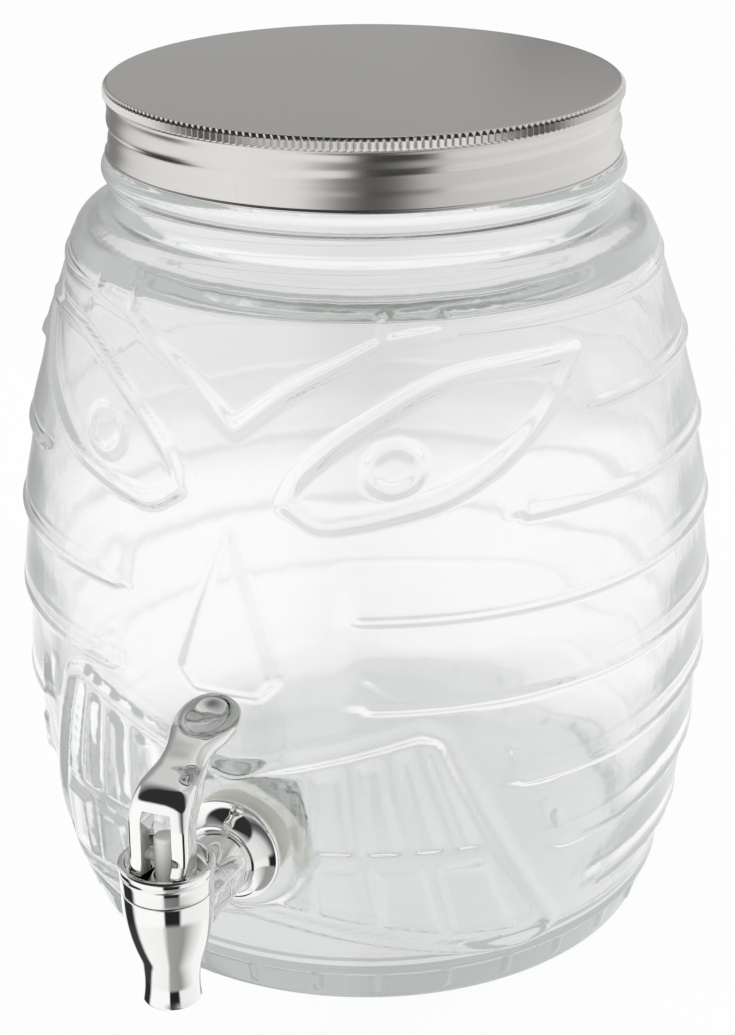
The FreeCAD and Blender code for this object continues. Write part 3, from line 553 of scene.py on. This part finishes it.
# The face, drawn for its right half as (degrees from the middle, height): its lines, then its blocks.
FACE_LINES = {
    "brow": [(0, 167.5), (8.5, 177.8), (17, 184.5), (25.5, 190), (37, 192.05)],
    "upper_lid": [
        (9.3, 151), (10.6, 157), (13.6, 162), (18.5, 168), (25, 174), (31, 178.6), (40, 182), (60, 182.6)],
    "lower_lid": [
        (9.3, 151), (14, 146.4), (19.4, 147), (27, 149.6), (35, 153), (44.5, 161), (52, 170), (60, 182.6)],
    "mouth_top": [(0, 76.5), (11, 82), (19, 86), (25, 89), (29.5, 91.2)],
    "mouth_side": [(29.5, 91.2), (33.2, 88), (35.4, 80), (41.5, 58.6), (48, 40), (55.9, 20.8)],
    "mouth_low": [(55.9, 20.8), (53.4, 16.6), (44.3, 16.6), (25.5, 23.3), (8.4, 29.7), (0, 32)],
    "cheek_high": [(20.5, 125.7), (24.5, 124.3), (33, 122.5), (40, 121.8), (50, 121.8)],
    "cheek_low": [(21.7, 106.7), (24.9, 102.6), (31, 99.5), (35, 98.1), (43, 97.5), (50, 97.7)],
    "band_end_3": [(44.6, 82.6), (46.2, 76.5), (47.2, 72.2), (52, 71.7)],
    "band_end_2": [(53.2, 58), (54.6, 51.5), (55.6, 47.6), (60, 47.2)],
    "tick_1": [(24.5, 190.6), (24.5, 199)],
    "tick_2": [(36, 192.4), (36, 200)],
}
# Width and rise of a line, by the first word of its name, as shares of the settings.
LINE_SIZES = {"mouth": (1.25, 0.8), "brow": (1.0, 0.5), "tick": (0.62, 0.5), "cheek": (0.62, 0.6)}
NOSE = [(-5.5, 98), (5.5, 98), (8.5, 104), (5, 123), (0.7, 144), (-0.7, 144), (-5, 123), (-8.5, 104)]
NOSE_RISE, NOSE_EDGE, TOOTH_EDGE = 1.5, 2.2, 2.1
EYE, EYE_HALF, EYE_RISE, EYE_HOLLOW = (26, 160), (8.6, 7.4), 0.8, 0.4
# Sides of the teeth, in degrees at the top and at the bottom of a row, and the heights where the rows meet.
UPPER_TEETH = [(1.0, 1.0), (12.0, 12.4), (19.0, 20.4), (24.6, 28.0), (29.0, 35.0), (32.4, 41.0)]
LOWER_TEETH = [(1.0, 1.0), (12.0, 12.4), (21.5, 23.0), (31.5, 35.6), (42.0, 49.5)]
UPPER_TIP, LOWER_TIP = 53.0, 48.6
# Gap beside a tooth in degrees, and from the mouth's lines to the teeth in millimetres.
TOOTH_GAP, UPPER_GUM, LOWER_GUM = 0.75, 4.4, 4.2


def tooth_rows():
    """Outlines of the teeth: upper ones hang from the mouth's top line, lower ones stand on its low line."""
    top, low = np.transpose(FACE_LINES["mouth_top"]), np.transpose(FACE_LINES["mouth_low"][::-1])
    blocks, gap = [], TOOTH_GAP
    for (a, c), (b, d) in zip(UPPER_TEETH[:-1], UPPER_TEETH[1:]):
        high = np.interp([a + gap, b - gap], *top) - UPPER_GUM
        blocks.append([(c + gap, UPPER_TIP), (d - gap, UPPER_TIP), (b - gap, high[1]), (a + gap, high[0])])
    for (a, c), (b, d) in zip(LOWER_TEETH[:-1], LOWER_TEETH[1:]):
        base = np.interp([c + gap, d - gap], *low) + LOWER_GUM
        blocks.append([(c + gap, base[0]), (d - gap, base[1]), (b - gap, LOWER_TIP), (a + gap, LOWER_TIP)])
    return [flatten(block) for block in blocks]


def band_rises(side, height, jar):
    """Height of the bands: a lip with a sharp lower edge and a long slope above it."""
    rise = np.zeros_like(side)
    for level, start, drop in zip(BAND_HEIGHTS, BAND_STARTS, BAND_DROPS):
        over = height - (level - drop * ease((DROP_FROM - side) / DROP_SPAN))
        short = np.maximum(start - side, 0) * DEGREE_RUN
        off = np.hypot(short, np.where(over < 0, LIP_UNDER, LIP_OVER) * over)
        above = ease(1 - np.abs(over) / SLOPE_HEIGHT) * (over > 0)
        slope = SLOPE_SHARE * above * ease(1 - short / SLOPE_FADE)
        tall = jar.band_rise / MM * (TOP_BAND_SHARE if level == BAND_HEIGHTS[-1] else 1.0)
        rise = np.maximum(rise, tall * np.maximum(slope, bell(off / (jar.band_half / MM))))
    return rise


def relief(turn, height, jar):
    """Height of the moulding over the plain glass, from degrees round from the face and height.

    Lines rise with nearness to a path, teeth and nose with depth in an outline, and the highest holds.
    """
    side = np.abs(turn)
    rise = band_rises(side, height, jar)
    foot_ring = RING_RISE * bell((height - RING_HEIGHT) / RING_HALF)
    to_tick = np.abs((side + TICK_STEP / 2) % TICK_STEP - TICK_STEP / 2) * FOOT_DEGREE_RUN
    low, high = TICK_HEIGHTS
    tick = TICK_RISE * bell(to_tick / TICK_HALF) * ease((high - height) / 2) * ease((height - low) / 2)
    rise = np.maximum(rise, np.maximum(foot_ring, tick))
    near = side < FACE_HALF
    spots = flatten(np.column_stack([side[near], height[near]]))
    rises = [rise[near]]
    for name, points in FACE_LINES.items():
        width, share = LINE_SIZES.get(name.split("_")[0], (1.0, 0.6))
        wide, tall = jar.line_half / MM * width, jar.line_rise / MM * share
        off = away(flatten(curve(points)), spots)
        rises.append(tall * ease(1.3 - off / (0.95 * wide)))
    for block in tooth_rows():
        rises.append(jar.tooth_rise / MM * ease(depth_in(block, spots) / TOOTH_EDGE))
    rises.append(NOSE_RISE * ease(depth_in(flatten(NOSE), spots) / NOSE_EDGE))
    out = np.hypot(*((spots - flatten([EYE])[0]) / EYE_HALF).T)
    rises.append(EYE_RISE * ease((1.0 - out) / 0.24) - EYE_HOLLOW * ease((0.72 - out) / 0.28))
    rise[near] = np.max(rises, 0)
    return rise


def belly_skin(jar):
    """The outside of the belly, finest over the face: its arc plus the relief along its normal.

    Gives the directions round the jar and the grid of points.
    """
    ticks = np.arange(-180, 180, TICK_STEP)[:, None] + np.array([-0.9, -0.45, 0, 0.45, 0.9])
    face, back = np.arange(-FACE_HALF, FACE_HALF + 0.1, 0.72), np.arange(75, 286, 3.0)
    fine = np.unique(np.round(np.concatenate([face, back, ticks.ravel() % 360]), 4) % 360)
    fine = fine[np.concatenate([[True], np.diff(fine) > 0.3])]
    ring, top = 20.0, SHOULDER - 3
    heights = np.concatenate([
        np.arange(3.0, ring, 0.85), np.arange(ring, top, 1.02), np.linspace(top, SHOULDER, 4)])
    degrees, level = np.meshgrid((fine + 180) % 360 - 180, heights)
    rise = relief(degrees.ravel(), level.ravel(), jar).reshape(level.shape)
    lean = (level - BELLY_HEIGHT) / BELLY_ARC
    radius = belly(level) + rise * np.sqrt(1 - lean ** 2)
    angle = np.radians(degrees)
    skin = np.stack([radius * np.sin(angle), -radius * np.cos(angle), level + rise * lean], -1)
    return np.radians(fine), skin


def neck_and_inside(angles):
    """Shoulder, neck, mouth and the whole inside, turned in one outline; the thread is a ridge on a helix."""
    shoulder, inner = float(belly(SHOULDER)), BELLY_ARC - GLASS_WALL
    ends = np.array([19.0, 193.0])
    low, high = BELLY_RADIUS - BELLY_ARC + np.sqrt(inner ** 2 - (ends - BELLY_HEIGHT) ** 2)
    outline = section([
        (shoulder, SHOULDER, 9.0), (shoulder - 5.6, 203.5, -8.0), (69.8, 209.5), (69.8, 212.8, 3.0),
        (69.8, 218.0), (66.9, 219.4), (66.9, 234.3, 1.4), (65.5, 235.7), (63.4, 235.7, 1.4), (62.0, 234.3),
        (62.0, 201.0), (high, ends[1], -inner), (low, ends[0], -11.0), (low - 10, INSIDE_FLOOR),
        (0.3, INSIDE_FLOOR)], 0.7, 5.0, 8.0)[1:]
    grid = spin_up(outline, angles)
    radius, height = outline.T[..., None]
    phase = (height - 222.5) / THREAD_LEAD - angles / (2 * math.pi)
    ridge = 0.9 * bell((phase - np.round(phase)) * THREAD_LEAD / 1.5)
    ridge *= (radius > 65) & (height > 220)
    push_out(grid, ridge * ease((height - 220.5) / 1.5) * ease((233.2 - height) / 1.5), angles)
    return grid


def cut_tap_hole(shell, grid, wall):
    """Flattens a wall to the tap's seat, leaves out the cells of the hole and rounds the rim that is left.

    Gives the numbers of the grid's points, then the rim's points and their directions round the hole.
    """
    off = np.hypot(grid[..., 0], grid[..., 2] - TAP_HEIGHT)
    seat = ease((SEAT_EDGE - off) / SEAT_BLEND) * (grid[..., 1] < -60)
    grid[..., 1] += seat * (-wall - grid[..., 1])
    pairs = 0.25 * (grid + np.roll(grid, -1, 1))
    middle = pairs[:-1] + pairs[1:]
    cut = (np.hypot(middle[..., 0], middle[..., 2] - TAP_HEIGHT) < TAP_HOLE) & (middle[..., 1] < -60)
    cut_cells = np.zeros(grid.shape[:2], int)
    for rows in (slice(0, -1), slice(1, None)):
        for roll in (0, 1):
            cut_cells[rows] += np.roll(cut, roll, 1)
    rim = (cut_cells > 0) & (cut_cells < 4)
    scale = TAP_HOLE / off[rim]
    grid[rim, 0] *= scale
    grid[rim, 1] = -wall
    grid[rim, 2] = TAP_HEIGHT + (grid[rim, 2] - TAP_HEIGHT) * scale
    index = shell.grid(grid, keep=~cut)
    return index, index[rim], np.arctan2(grid[rim, 0], grid[rim, 2] - TAP_HEIGHT)


def make_glass(jar):
    """The jar as one closed skin: a finely divided belly, and coarser foot, neck and inside that join it."""
    shell = Shell()
    coarse = turns(144)
    fine, skin = belly_skin(jar)
    outer, outer_rim, outer_turn = cut_tap_hole(shell, skin, SEAT_OUTSIDE)
    inner, inner_rim, inner_turn = cut_tap_hole(shell, neck_and_inside(coarse), SEAT_INSIDE)
    foot = float(belly(2.0))
    under = section([(foot, 2.0, -2.2), (foot - 2, 0.0), (70.0, 0.0), (0.3, FOOT_HOLLOW)], 0.5, 9.0, 14.0)
    bottom = shell.grid(spin_up(under, coarse))
    shell.bridge(outer[-1], fine, inner[0], coarse)
    shell.bridge(bottom[0], coarse, outer[0], fine)
    shell.bridge(outer_rim, outer_turn, inner_rim, inner_turn)
    shell.fan(inner[-1], (0, 0, INSIDE_FLOOR))
    shell.fan(bottom[-1], (0, 0, FOOT_HOLLOW))
    return shell


def make_lid_shell(lid):
    """Pressed lid, outside and inside in one outline: knurled edge, rolled thread and a small lip below.

    The thread is a bell-shaped groove about height = lead * turn; the knurl is a rounded tooth wave.
    """
    outline = section([
        (0.2, LID_TOP), (68.8, LID_TOP), (70.0, 236.9), (70.0, 234.9), (69.2, 234.3), (69.3, 233.6, 9.0),
        (69.3, 229.0), (69.7, 227.5), (69.5, 226.0, 12.0), (69.5, 219.9), (69.9, 219.7), (70.1, 219.4),
        (69.9, 219.05), (69.4, 219.0), (69.0, 219.4), (68.9, 221.2), (69.0, 233.4), (69.2, 236.4),
        (68.2, LID_UNDER), (0.2, LID_UNDER)], 0.2, 0.9, 11.0)
    order = np.arange(len(outline))
    outer = order <= np.argmin(outline[:, 1])
    outline = outline[(outline[:, 0] > LID_EDGE) & (outer | (order % 3 == 0)) | (order % 12 == 0)]
    outer = (np.arange(len(outline)) < np.argmin(outline[:, 1]))[:, None]
    radius, height = outline.T[..., None]
    angles = turns(4 * lid.knurls)
    skirt = ease(radius - 67.5)
    lead = lid.thread_lead / MM
    turn = (angles - math.radians(GROOVE_TURN) + math.pi) / (2 * math.pi) % 1.0 - 0.5
    thread = 0.0
    for lap in (-1, 0, 1):
        off = height - GROOVE_HEIGHT - (turn + lap) * lead
        groove = GROOVE_DEPTH * np.exp(-(off / GROOVE_HALF) ** 2)
        thread = thread - groove * ease((0.56 - np.abs(turn + lap)) / 0.1)
    thread = thread * skirt * ease((234.4 - height) / 2.0) * ease((height - 220.4) / 2.0)
    seam = 0.18 * np.exp(-((angles - math.radians(355)) * 70 / 0.35) ** 2) * ease((226 - height) / 1.5)
    tooth = (0.5 - 0.5 * np.cos(np.arange(len(angles)) * math.pi / 2)) * lid.knurl_depth / MM
    grip = outer * skirt * ease((height - 234.4) / 0.7) * ease((238.05 - height) / 0.8)
    skin = spin_up(outline, angles)
    push_out(skin, thread - tooth * grip - seam * outer * (height > 220.9), angles)
    return Shell().capped(skin)


# Lever stations from foot to tip, from the trunnion axis: front (behind, up), back (behind, up), width and
# squareness of the ring. The fork's legs are square.
LEVER = np.array([
    (-6.7, -2.7, 2.4, -4.6, 15.6, 7.0), (-6.5, -1.7, 2.4, -2.2, 15.6, 7.0),
    (-5.5, 0.6, 2.3, 0.4, 15.8, 7.0), (-5.3, 4.0, 2.2, 4.0, 16.0, 7.0),
    (-5.3, 8.0, 2.3, 8.0, 16.0, 7.0), (-5.2, 11.4, 3.4, 11.4, 16.0, 7.0),
    (-4.6, 14.5, 6.4, 14.5, 15.9, 6.0), (-3.0, 17.5, 9.0, 15.9, 15.5, 4.2),
    (-0.2, 19.9, 10.9, 16.7, 14.8, 3.2), (4.4, 21.2, 12.5, 17.4, 13.8, 2.8),
    (8.6, 22.2, 14.1, 18.2, 12.7, 2.6), (12.2, 23.7, 16.1, 19.2, 12.2, 2.5),
    (15.8, 25.1, 18.6, 20.3, 13.2, 2.6), (20.4, 26.1, 21.9, 21.4, 15.8, 2.8),
    (25.3, 26.8, 25.9, 22.6, 17.2, 3.0), (29.3, 27.8, 29.4, 23.9, 15.9, 2.8),
    (32.0, 28.7, 31.9, 25.2, 12.0, 2.5), (33.5, 28.9, 33.4, 26.3, 7.0, 2.2),
    (34.1, 28.5, 34.1, 27.3, 2.6, 2.0)])


def make_lever():
    """Lever as one skin: superelliptic rings between its front and back lines, with a window left out.

    A ring is centre + thickness * sign(cos) |cos|^(2/n) + width * sign(sin) |sin|^(2/n). The thumb's hollow
    sinks the top, and the foot's end is the involute that rolls on the bonnet floor.
    """
    # Steps from one station to the next, and columns from the middle of the window to its edge.
    per, side = 6, 2
    rows = curve(LEVER, per)
    window_row = 6 * per
    window, fork_width, square = 8.0, 16.0, 7.0
    edge = math.asin((window / fork_width) ** (square / 2))
    quarter = np.concatenate([np.linspace(0, edge, side + 1), np.linspace(edge, math.pi / 2, 11)[1:]])
    ring = np.concatenate([quarter, math.pi - quarter[-2::-1]])
    ring = np.concatenate([ring, 2 * math.pi - ring[-2:0:-1]])
    power = 2 / rows[:, 5, None]
    deep = np.sign(np.cos(ring)) * np.abs(np.cos(ring)) ** power
    wide = np.sign(np.sin(ring)) * np.abs(np.sin(ring)) ** power
    front, back = rows[:, None, 0:2], rows[:, None, 2:4]
    flat = (front + back) / 2 + (front - back) / 2 * deep[..., None]
    across = rows[:, 4, None] / 2 * wide
    behind, up = flat[..., 0], flat[..., 1]
    hollow = np.clip(1 - ((behind - 25.0) / 7.8) ** 2 - (across / 6.4) ** 2, 0, 1) * (deep > 0.05)
    up = up - ease(hollow) * ease(hollow)
    tilt = np.radians(np.linspace(0, LEVER_TRAVEL, 25))
    drop = FOOT_DROP + FOOT_ROLL * tilt
    toe_ahead = FOOT_ROLL * np.cos(tilt) + drop * np.sin(tilt)
    toe_up = FOOT_ROLL * np.sin(tilt) - drop * np.cos(tilt)
    up[0] = np.interp(-behind[0], toe_ahead, toe_up)
    points = np.stack([across, behind - TAP_REACH, up + PIVOT], -1)
    columns, half = len(ring), len(ring) // 2
    front_gap, back_gap = np.arange(-side, side + 1) % columns, np.arange(half - side, half + side + 1)
    keep = np.ones((len(rows) - 1, columns), bool)
    keep[:window_row, np.r_[front_gap[:-1], back_gap[:-1]]] = False
    shell = Shell()
    index = shell.grid(points, keep=keep)
    for leg in (np.arange(side, half - side + 1), np.arange(half + side, columns - side + 1)):
        shell.weave(index[:window_row + 1, leg[[0, -1]]])
        shell.fan(index[0, leg], points[0, leg].mean(0))
    shell.weave(np.vstack([index[window_row, front_gap], index[window_row, back_gap[::-1]]]))
    shell.fan(index[-1], points[-1].mean(0) + np.array([0, 0.25, 0]))
    return shell


class DISPENSER_OT_glass(bpy.types.Operator):
    """Builds the moulded glass jar with its bands, face, neck thread and tap hole"""

    bl_idname = "dispenser.glass"
    bl_label = "Moulded glass"

    def execute(self, context):
        jar = context.scene.dispenser_jar
        make_glass(jar).finish("jar_glass", "jar", "clear_glass", moulded_glass(jar.tint), ("glass_jar",))
        return {"FINISHED"}


class DISPENSER_OT_lid(bpy.types.Operator):
    """Builds the pressed steel lid and its liner"""

    bl_idname = "dispenser.lid"
    bl_label = "Pressed lid"

    def execute(self, context):
        lid = context.scene.dispenser_lid
        steel = satin_steel(lid.steel)
        make_lid_shell(lid).finish("pressed_lid", "lid", "lid_steel", steel, ("lid_shell",), 50)
        outline = section([
            (0.2, 235.7), (61.0, 235.7), (62.5, 235.95), (66.5, 235.95), (67.6, 235.7), (67.8, 236.3),
            (67.8, LID_UNDER), (0.2, LID_UNDER)], 0.15, 6.0, 14.0)
        disc = Shell().capped(spin_up(outline, turns(120)))
        foam = soft_silicone("foam_liner", (0.86, 0.85, 0.82), 700.0)
        disc.finish("lid_disc", "liner", "liner_foam", foam, ("lid_liner",))
        return {"FINISHED"}


class DISPENSER_OT_tap(bpy.types.Operator):
    """Builds the body, arm, bonnet and flange of the tap"""

    bl_idname = "dispenser.tap"
    bl_label = "Tap body"

    def execute(self, context):
        chrome = mirror_chrome(context.scene.dispenser_tap.chrome)
        barrel = [
            (7.8, 49.0), (5.4, 48.5), (5.4, 33.4), (6.9, 32.1), (7.3, 31.95), (7.55, 32.3, -27.0),
            (8.55, 45.0, 49.7), (11.54, 64.1), (10.0, 64.1), (10.0, 60.0), (7.8, 60.0)]
        turned_ring("tap_barrel", barrel, (0.18, 1.6, 5.0), 128, "tap_chrome", chrome, "tap_body")
        arm = section([
            (5.0, 128.5), (9.0, 128.5), (9.0, 118.3), (8.7, 118.0), (7.9, 118.0), (7.9, 100.0), (7.9, 73.5),
            (7.4, 73.0), (5.0, 73.0)], 0.12, 1.1, 8.0, True)
        shell = Shell()
        angles = turns(96)
        pipe = spin_level(arm, angles, TAP_HEIGHT)
        threaded = (arm[:, 0, None] > 7.2) & (arm[:, 1, None] < 98.5)
        phase = arm[:, 1, None] / 1.5 - angles / (2 * math.pi)
        cut = 0.32 * (0.5 - 0.5 * np.cos(2 * math.pi * phase)) * threaded
        pipe[..., 0] -= cut * np.sin(angles)
        pipe[..., 2] -= cut * np.cos(angles)
        shell.grid(pipe, closed=True)
        shell.finish("tap_arm", "jar", "tap_chrome", chrome, (), 40)
        bonnet = [
            (3.4, 65.5), (8.4, 65.5), (8.4, 61.3), (9.9, 61.3), (9.9, 64.25), (11.4, 64.25), (11.6, 64.5),
            (11.84, 68.7), (11.7, 69.1), (11.8, 69.4), (12.1, 70.2), (12.1, 71.3), (11.6, 71.8), (10.7, 71.8),
            (10.5, 71.5), (10.5, 67.9), (10.1, 67.5), (3.4, 67.5)]
        turned_ring("tap_collar", bonnet, (0.1, 1.2, 6.0), 128, "tap_chrome", chrome, "tap_bonnet")
        flange = [
            (8.05, 117.9), (8.8, 117.9), (9.0, 117.7), (9.0, 105.4), (9.75, 105.1), (9.9, 104.7, 9.0),
            (13.9, 100.4), (14.5, 100.3), (14.7, 100.0), (14.7, 99.3), (14.5, 99.0), (8.05, 99.0)]
        smooth = 0.12, 1.2, 6.0
        turned_ring("tap_rosette", flange, smooth, 144, "tap_chrome", chrome, "tap_flange", TAP_HEIGHT)
        return {"FINISHED"}


class DISPENSER_OT_seals(bpy.types.Operator):
    """Builds the gaskets, and finishes the nut and the seat seal"""

    bl_idname = "dispenser.seals"
    bl_label = "Gaskets and nut"

    def execute(self, context):
        tap = context.scene.dispenser_tap
        silicone = soft_silicone("cream_silicone", tap.silicone, 420.0)
        for name, node, front in (
                ("gasket_outside", "outer_gasket", 99.0), ("gasket_inside", "inner_gasket", SEAT_INSIDE)):
            corners = [(8.05, front), (8.05, front - 1.8), (13.6, front - 1.8), (13.6, front)]
            turned_ring(name, corners, (0.3, 1.5, 14.0), 96, "gasket_silicone", silicone, node, TAP_HEIGHT)
        plastic = moulded_plastic(tap.plastic)
        for node, finish in (("shank_nut", plastic), ("seat_seal", silicone)):
            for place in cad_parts[node].material_slots:
                place.material = finish
        return {"FINISHED"}


class DISPENSER_OT_lever(bpy.types.Operator):
    """Builds the stem with its trunnions, and the lever"""

    bl_idname = "dispenser.lever"
    bl_label = "Stem and lever"

    def execute(self, context):
        plastic = bpy.data.materials["moulded_plastic"]
        chrome = bpy.data.materials["mirror_chrome"]
        stem = section([(0.1, 51.1), (3.0, 51.1), (3.0, 78.2), (2.6, 78.6), (0.1, 78.6)], 0.12, 2.0, 9.0)
        rod = Shell().capped(spin_up(stem, turns(48), TAP_REACH))
        rod.finish("stem_rod", "stem", "white_plastic", plastic, ("tap_stem",))
        half = 5.6
        pin = [(0.1, -half), (1.3, -half), (1.5, -5.4), (1.5, 5.4), (1.3, half), (0.1, half)]
        radius, reach = section(pin, 0.08, 2.0, 12.0).T[..., None]
        angles = turns(32)
        trunnions = Shell().capped(np.stack([
            reach + 0 * angles, radius * np.sin(angles) - TAP_REACH, radius * np.cos(angles) + PIVOT], -1))
        trunnions.finish("stem_trunnions", "stem", "white_plastic", plastic)
        crease = 48
        lever = make_lever().finish("tap_handle", "lever", "tap_chrome", chrome, ("tap_lever",), crease)
        soft = lever.modifiers.new("edges", "BEVEL")
        soft.width = 0.00035
        soft.segments = 2
        soft.limit_method = "ANGLE"
        soft.angle_limit = math.radians(crease)
        soft.harden_normals = True
        return {"FINISHED"}


def pale_floor(colour):
    """Floor: softly lit, nearly white to the camera; where glass shows it, it carries a painted shadow near
    the jar and painted shade far off.
    """
    made, paint = material("pale_floor")
    seen = paint.add("LightPath", output="Is Camera Ray")
    lit = paint.add("BsdfDiffuse", {"Color": (*colour, 1.0)})
    through = seen.also("Is Transmission Ray")
    spot = paint.add("TexCoord", output="Object")
    reach = paint.add("VectorMath", {0: spot}, "Value", operation="LENGTH")
    # Painted shadow under the jar and painted shade far off, in the floor's glow as seen through glass
    painted_shadow_near, painted_shade_far = 0.24, 0.22
    painted_shade = painted_shadow_near - painted_shadow_near * paint.rise(reach, 0.08, 0.15) + painted_shade_far * paint.rise(reach, 0.27, 0.4)
    glow = paint.add("Emission", {"Color": 1.0 - through * painted_shade})
    paint.end(Surface=paint.blend(seen.math("MAXIMUM", through) * 0.9, lit, glow))
    return made


def studio_floor(colour):
    """A wide disc under the jar, left out of mirrors."""
    rim, reach = turns(64), 9.0
    mesh = bpy.data.meshes.new("studio_floor")
    disc = np.stack([reach * np.sin(rim), -reach * np.cos(rim), 0 * rim], -1)
    mesh.from_pydata(disc.tolist(), [], [list(range(len(rim)))])
    floor = bpy.data.objects.new("studio_floor", mesh)
    bpy.context.scene.collection.objects.link(floor)
    floor.visible_glossy = False
    mesh.materials.append(pale_floor(colour))


def studio_world(camera_turn):
    """Pale world: even for matt surfaces, white behind glass, and soft panels with dark gaps for metal.

    Each ramp gives tones at degrees from the camera. For metal they follow one another with height.
    """
    world = bpy.data.worlds.new("studio")
    paint = Paint(world)
    x, y, z = paint.axes("Generated")
    toward = x * math.sin(camera_turn) - y * math.cos(camera_turn)
    aside = x * math.cos(camera_turn) + y * math.sin(camera_turn)
    turn = aside.math("ARCTAN2", toward) / (2 * math.pi) + 0.5
    ground = paint.ramp(turn, [
        (-180, 1.1), (-136, 1.1), (-128, 0.05), (-96, 0.05), (-84, 1.1), (-14, 1.05), (0, 0.42), (44, 0.36),
        (75, 0.8), (110, 1.1), (180, 1.1)])
    low = paint.ramp(turn, [
        (-180, 1.1), (-136, 1.1), (-128, 0.03), (-96, 0.03), (-84, 1.15), (-8, 1.15), (-3, 0.02), (30, 0.02),
        (38, 1.0), (150, 1.1), (180, 1.1)])
    level = paint.ramp(turn, [
        (-180, 0.6), (-155, 0.25), (-140, 0.25), (-125, 0.9), (-105, 1.08), (-60, 1.17), (-28, 1.08),
        (-10, 0.3), (2, 0.08), (14, 0.2), (28, 0.75), (50, 0.88), (130, 1.05), (180, 0.8)])
    sky = paint.ramp(turn, [
        (-180, 0.45), (-172, 0.45), (-166, 0.36), (-120, 0.36), (-85, 0.03), (45, 0.03), (80, 0.8),
        (110, 0.6), (180, 0.45)])
    ahead = paint.ramp(turn, [(-180, 0.0), (-150, 0.0), (-120, 1.0), (120, 1.0), (150, 0.0), (180, 0.0)])
    mirror = ground + (low - ground) * paint.rise(z, -0.66, -0.6)
    mirror = mirror + (level - mirror) * paint.rise(z, -0.45, -0.3)
    mirror = mirror + (sky - mirror) * paint.rise(z - ahead * 0.42, 0.02, 0.14)
    corner = paint.ramp(turn, [(-180, 0.0), (150, 0.0), (158, 0.15), (176.2, 0.15), (177.4, 0.0), (180, 0.0)])
    mirror = mirror + paint.rise(z, 0.45, 0.7) * (1 - ahead) * 0.35
    mirror = mirror - corner * paint.rise(0.4 - z, 0.181, 0.19)
    behind = paint.ramp(turn, [
        (-180, 1.0), (-145, 1.0), (-100, 0.55), (0, 0.18), (100, 0.55), (145, 1.0), (180, 1.0)])
    glossy = paint.add("LightPath", output="Is Glossy Ray")
    through, soft = glossy.also("Is Transmission Ray"), glossy.also("Is Diffuse Ray")
    plain = 1.0 - soft * 0.25 - glossy - through
    strength = mirror * glossy + behind * through + plain
    shade = paint.add("Background", {"Color": (1, 1, 1, 1), "Strength": strength})
    paint.end("OutputWorld", Surface=shade)
    return world


def soft_lamp(name, place, size, power):
    """A round lamp aimed at the jar, left out of mirrors and glass."""
    lamp = bpy.data.lights.new(name, "AREA")
    lamp.shape = "DISK"
    lamp.size = size
    lamp.energy = power
    holder = bpy.data.objects.new(name, lamp)
    holder.visible_glossy = holder.visible_transmission = False
    holder.location = place
    aim = Vector((0, 0, 0.1)) - Vector(place)
    holder.rotation_euler = aim.to_track_quat("-Z", "Y").to_euler()
    bpy.context.scene.collection.objects.link(holder)


def studio_camera(stage):
    """Camera on its circle round the jar, leaning by its roll."""
    lens = bpy.data.cameras.new("camera")
    lens.lens = stage.lens
    lens.shift_x = 0.0015
    lens.clip_end = 100.0
    level = math.cos(stage.rise)
    out = Vector((level * math.sin(stage.turn), -level * math.cos(stage.turn), math.sin(stage.rise)))
    place = Vector((0, 0, stage.height)) + out * stage.distance
    turned = (-out).to_track_quat("-Z", "Y").to_matrix().to_4x4()
    holder = bpy.data.objects.new("camera", lens)
    holder.matrix_world = Matrix.Translation(place) @ turned @ Matrix.Rotation(stage.roll, 4, "Z")
    bpy.context.scene.collection.objects.link(holder)
    return holder


class DISPENSER_OT_stage(bpy.types.Operator):
    """Builds the floor, the light and the camera"""

    bl_idname = "dispenser.stage"
    bl_label = "Stage"

    def execute(self, context):
        scene, stage = context.scene, context.scene.dispenser_stage
        scene.view_settings.view_transform = "Standard"
        studio_floor(stage.floor)
        scene.world = studio_world(stage.turn)
        soft_lamp("key_light", (-0.9, -0.9, 1.5), 1.1, 9.0)
        soft_lamp("fill_light", (1.2, -0.5, 1.2), 1.2, 5.0)
        scene.camera = studio_camera(stage)
        return {"FINISHED"}


class DISPENSER_PT_panel(bpy.types.Panel):
    """Lists the settings and the steps"""

    bl_idname = "DISPENSER_PT_panel"
    bl_label = "Dispenser jar"
    bl_space_type = "VIEW_3D"
    bl_region_type = "UI"
    bl_category = "Jar"

    def draw(self, context):
        for group in (getattr(context.scene, name) for name in GROUPS):
            box = self.layout.box()
            for name in group.bl_rna.properties.keys():
                if name not in ("rna_type", "name"):
                    box.prop(group, name)
        for step in STEPS:
            self.layout.operator(step.bl_idname)


GROUPS = {"dispenser_jar": JarSettings, "dispenser_lid": LidSettings, "dispenser_tap": TapSettings,
          "dispenser_stage": StageSettings}
STEPS = (DISPENSER_OT_glass, DISPENSER_OT_lid, DISPENSER_OT_tap, DISPENSER_OT_seals, DISPENSER_OT_lever,
         DISPENSER_OT_stage)


def register():
    for name, group in GROUPS.items():
        bpy.utils.register_class(group)
        setattr(bpy.types.Scene, name, PointerProperty(type=group))
    for step in (*STEPS, DISPENSER_PT_panel):
        bpy.utils.register_class(step)


def unregister():
    for step in (DISPENSER_PT_panel, *reversed(STEPS)):
        bpy.utils.unregister_class(step)
    for name, group in GROUPS.items():
        delattr(bpy.types.Scene, name)
        bpy.utils.unregister_class(group)


def main():
    """Builds every piece in order."""
    register()
    bpy.ops.dispenser.glass()
    bpy.ops.dispenser.lid()
    bpy.ops.dispenser.tap()
    bpy.ops.dispenser.seals()
    bpy.ops.dispenser.lever()
    bpy.ops.dispenser.stage()


if __name__ == "__main__":
    main()
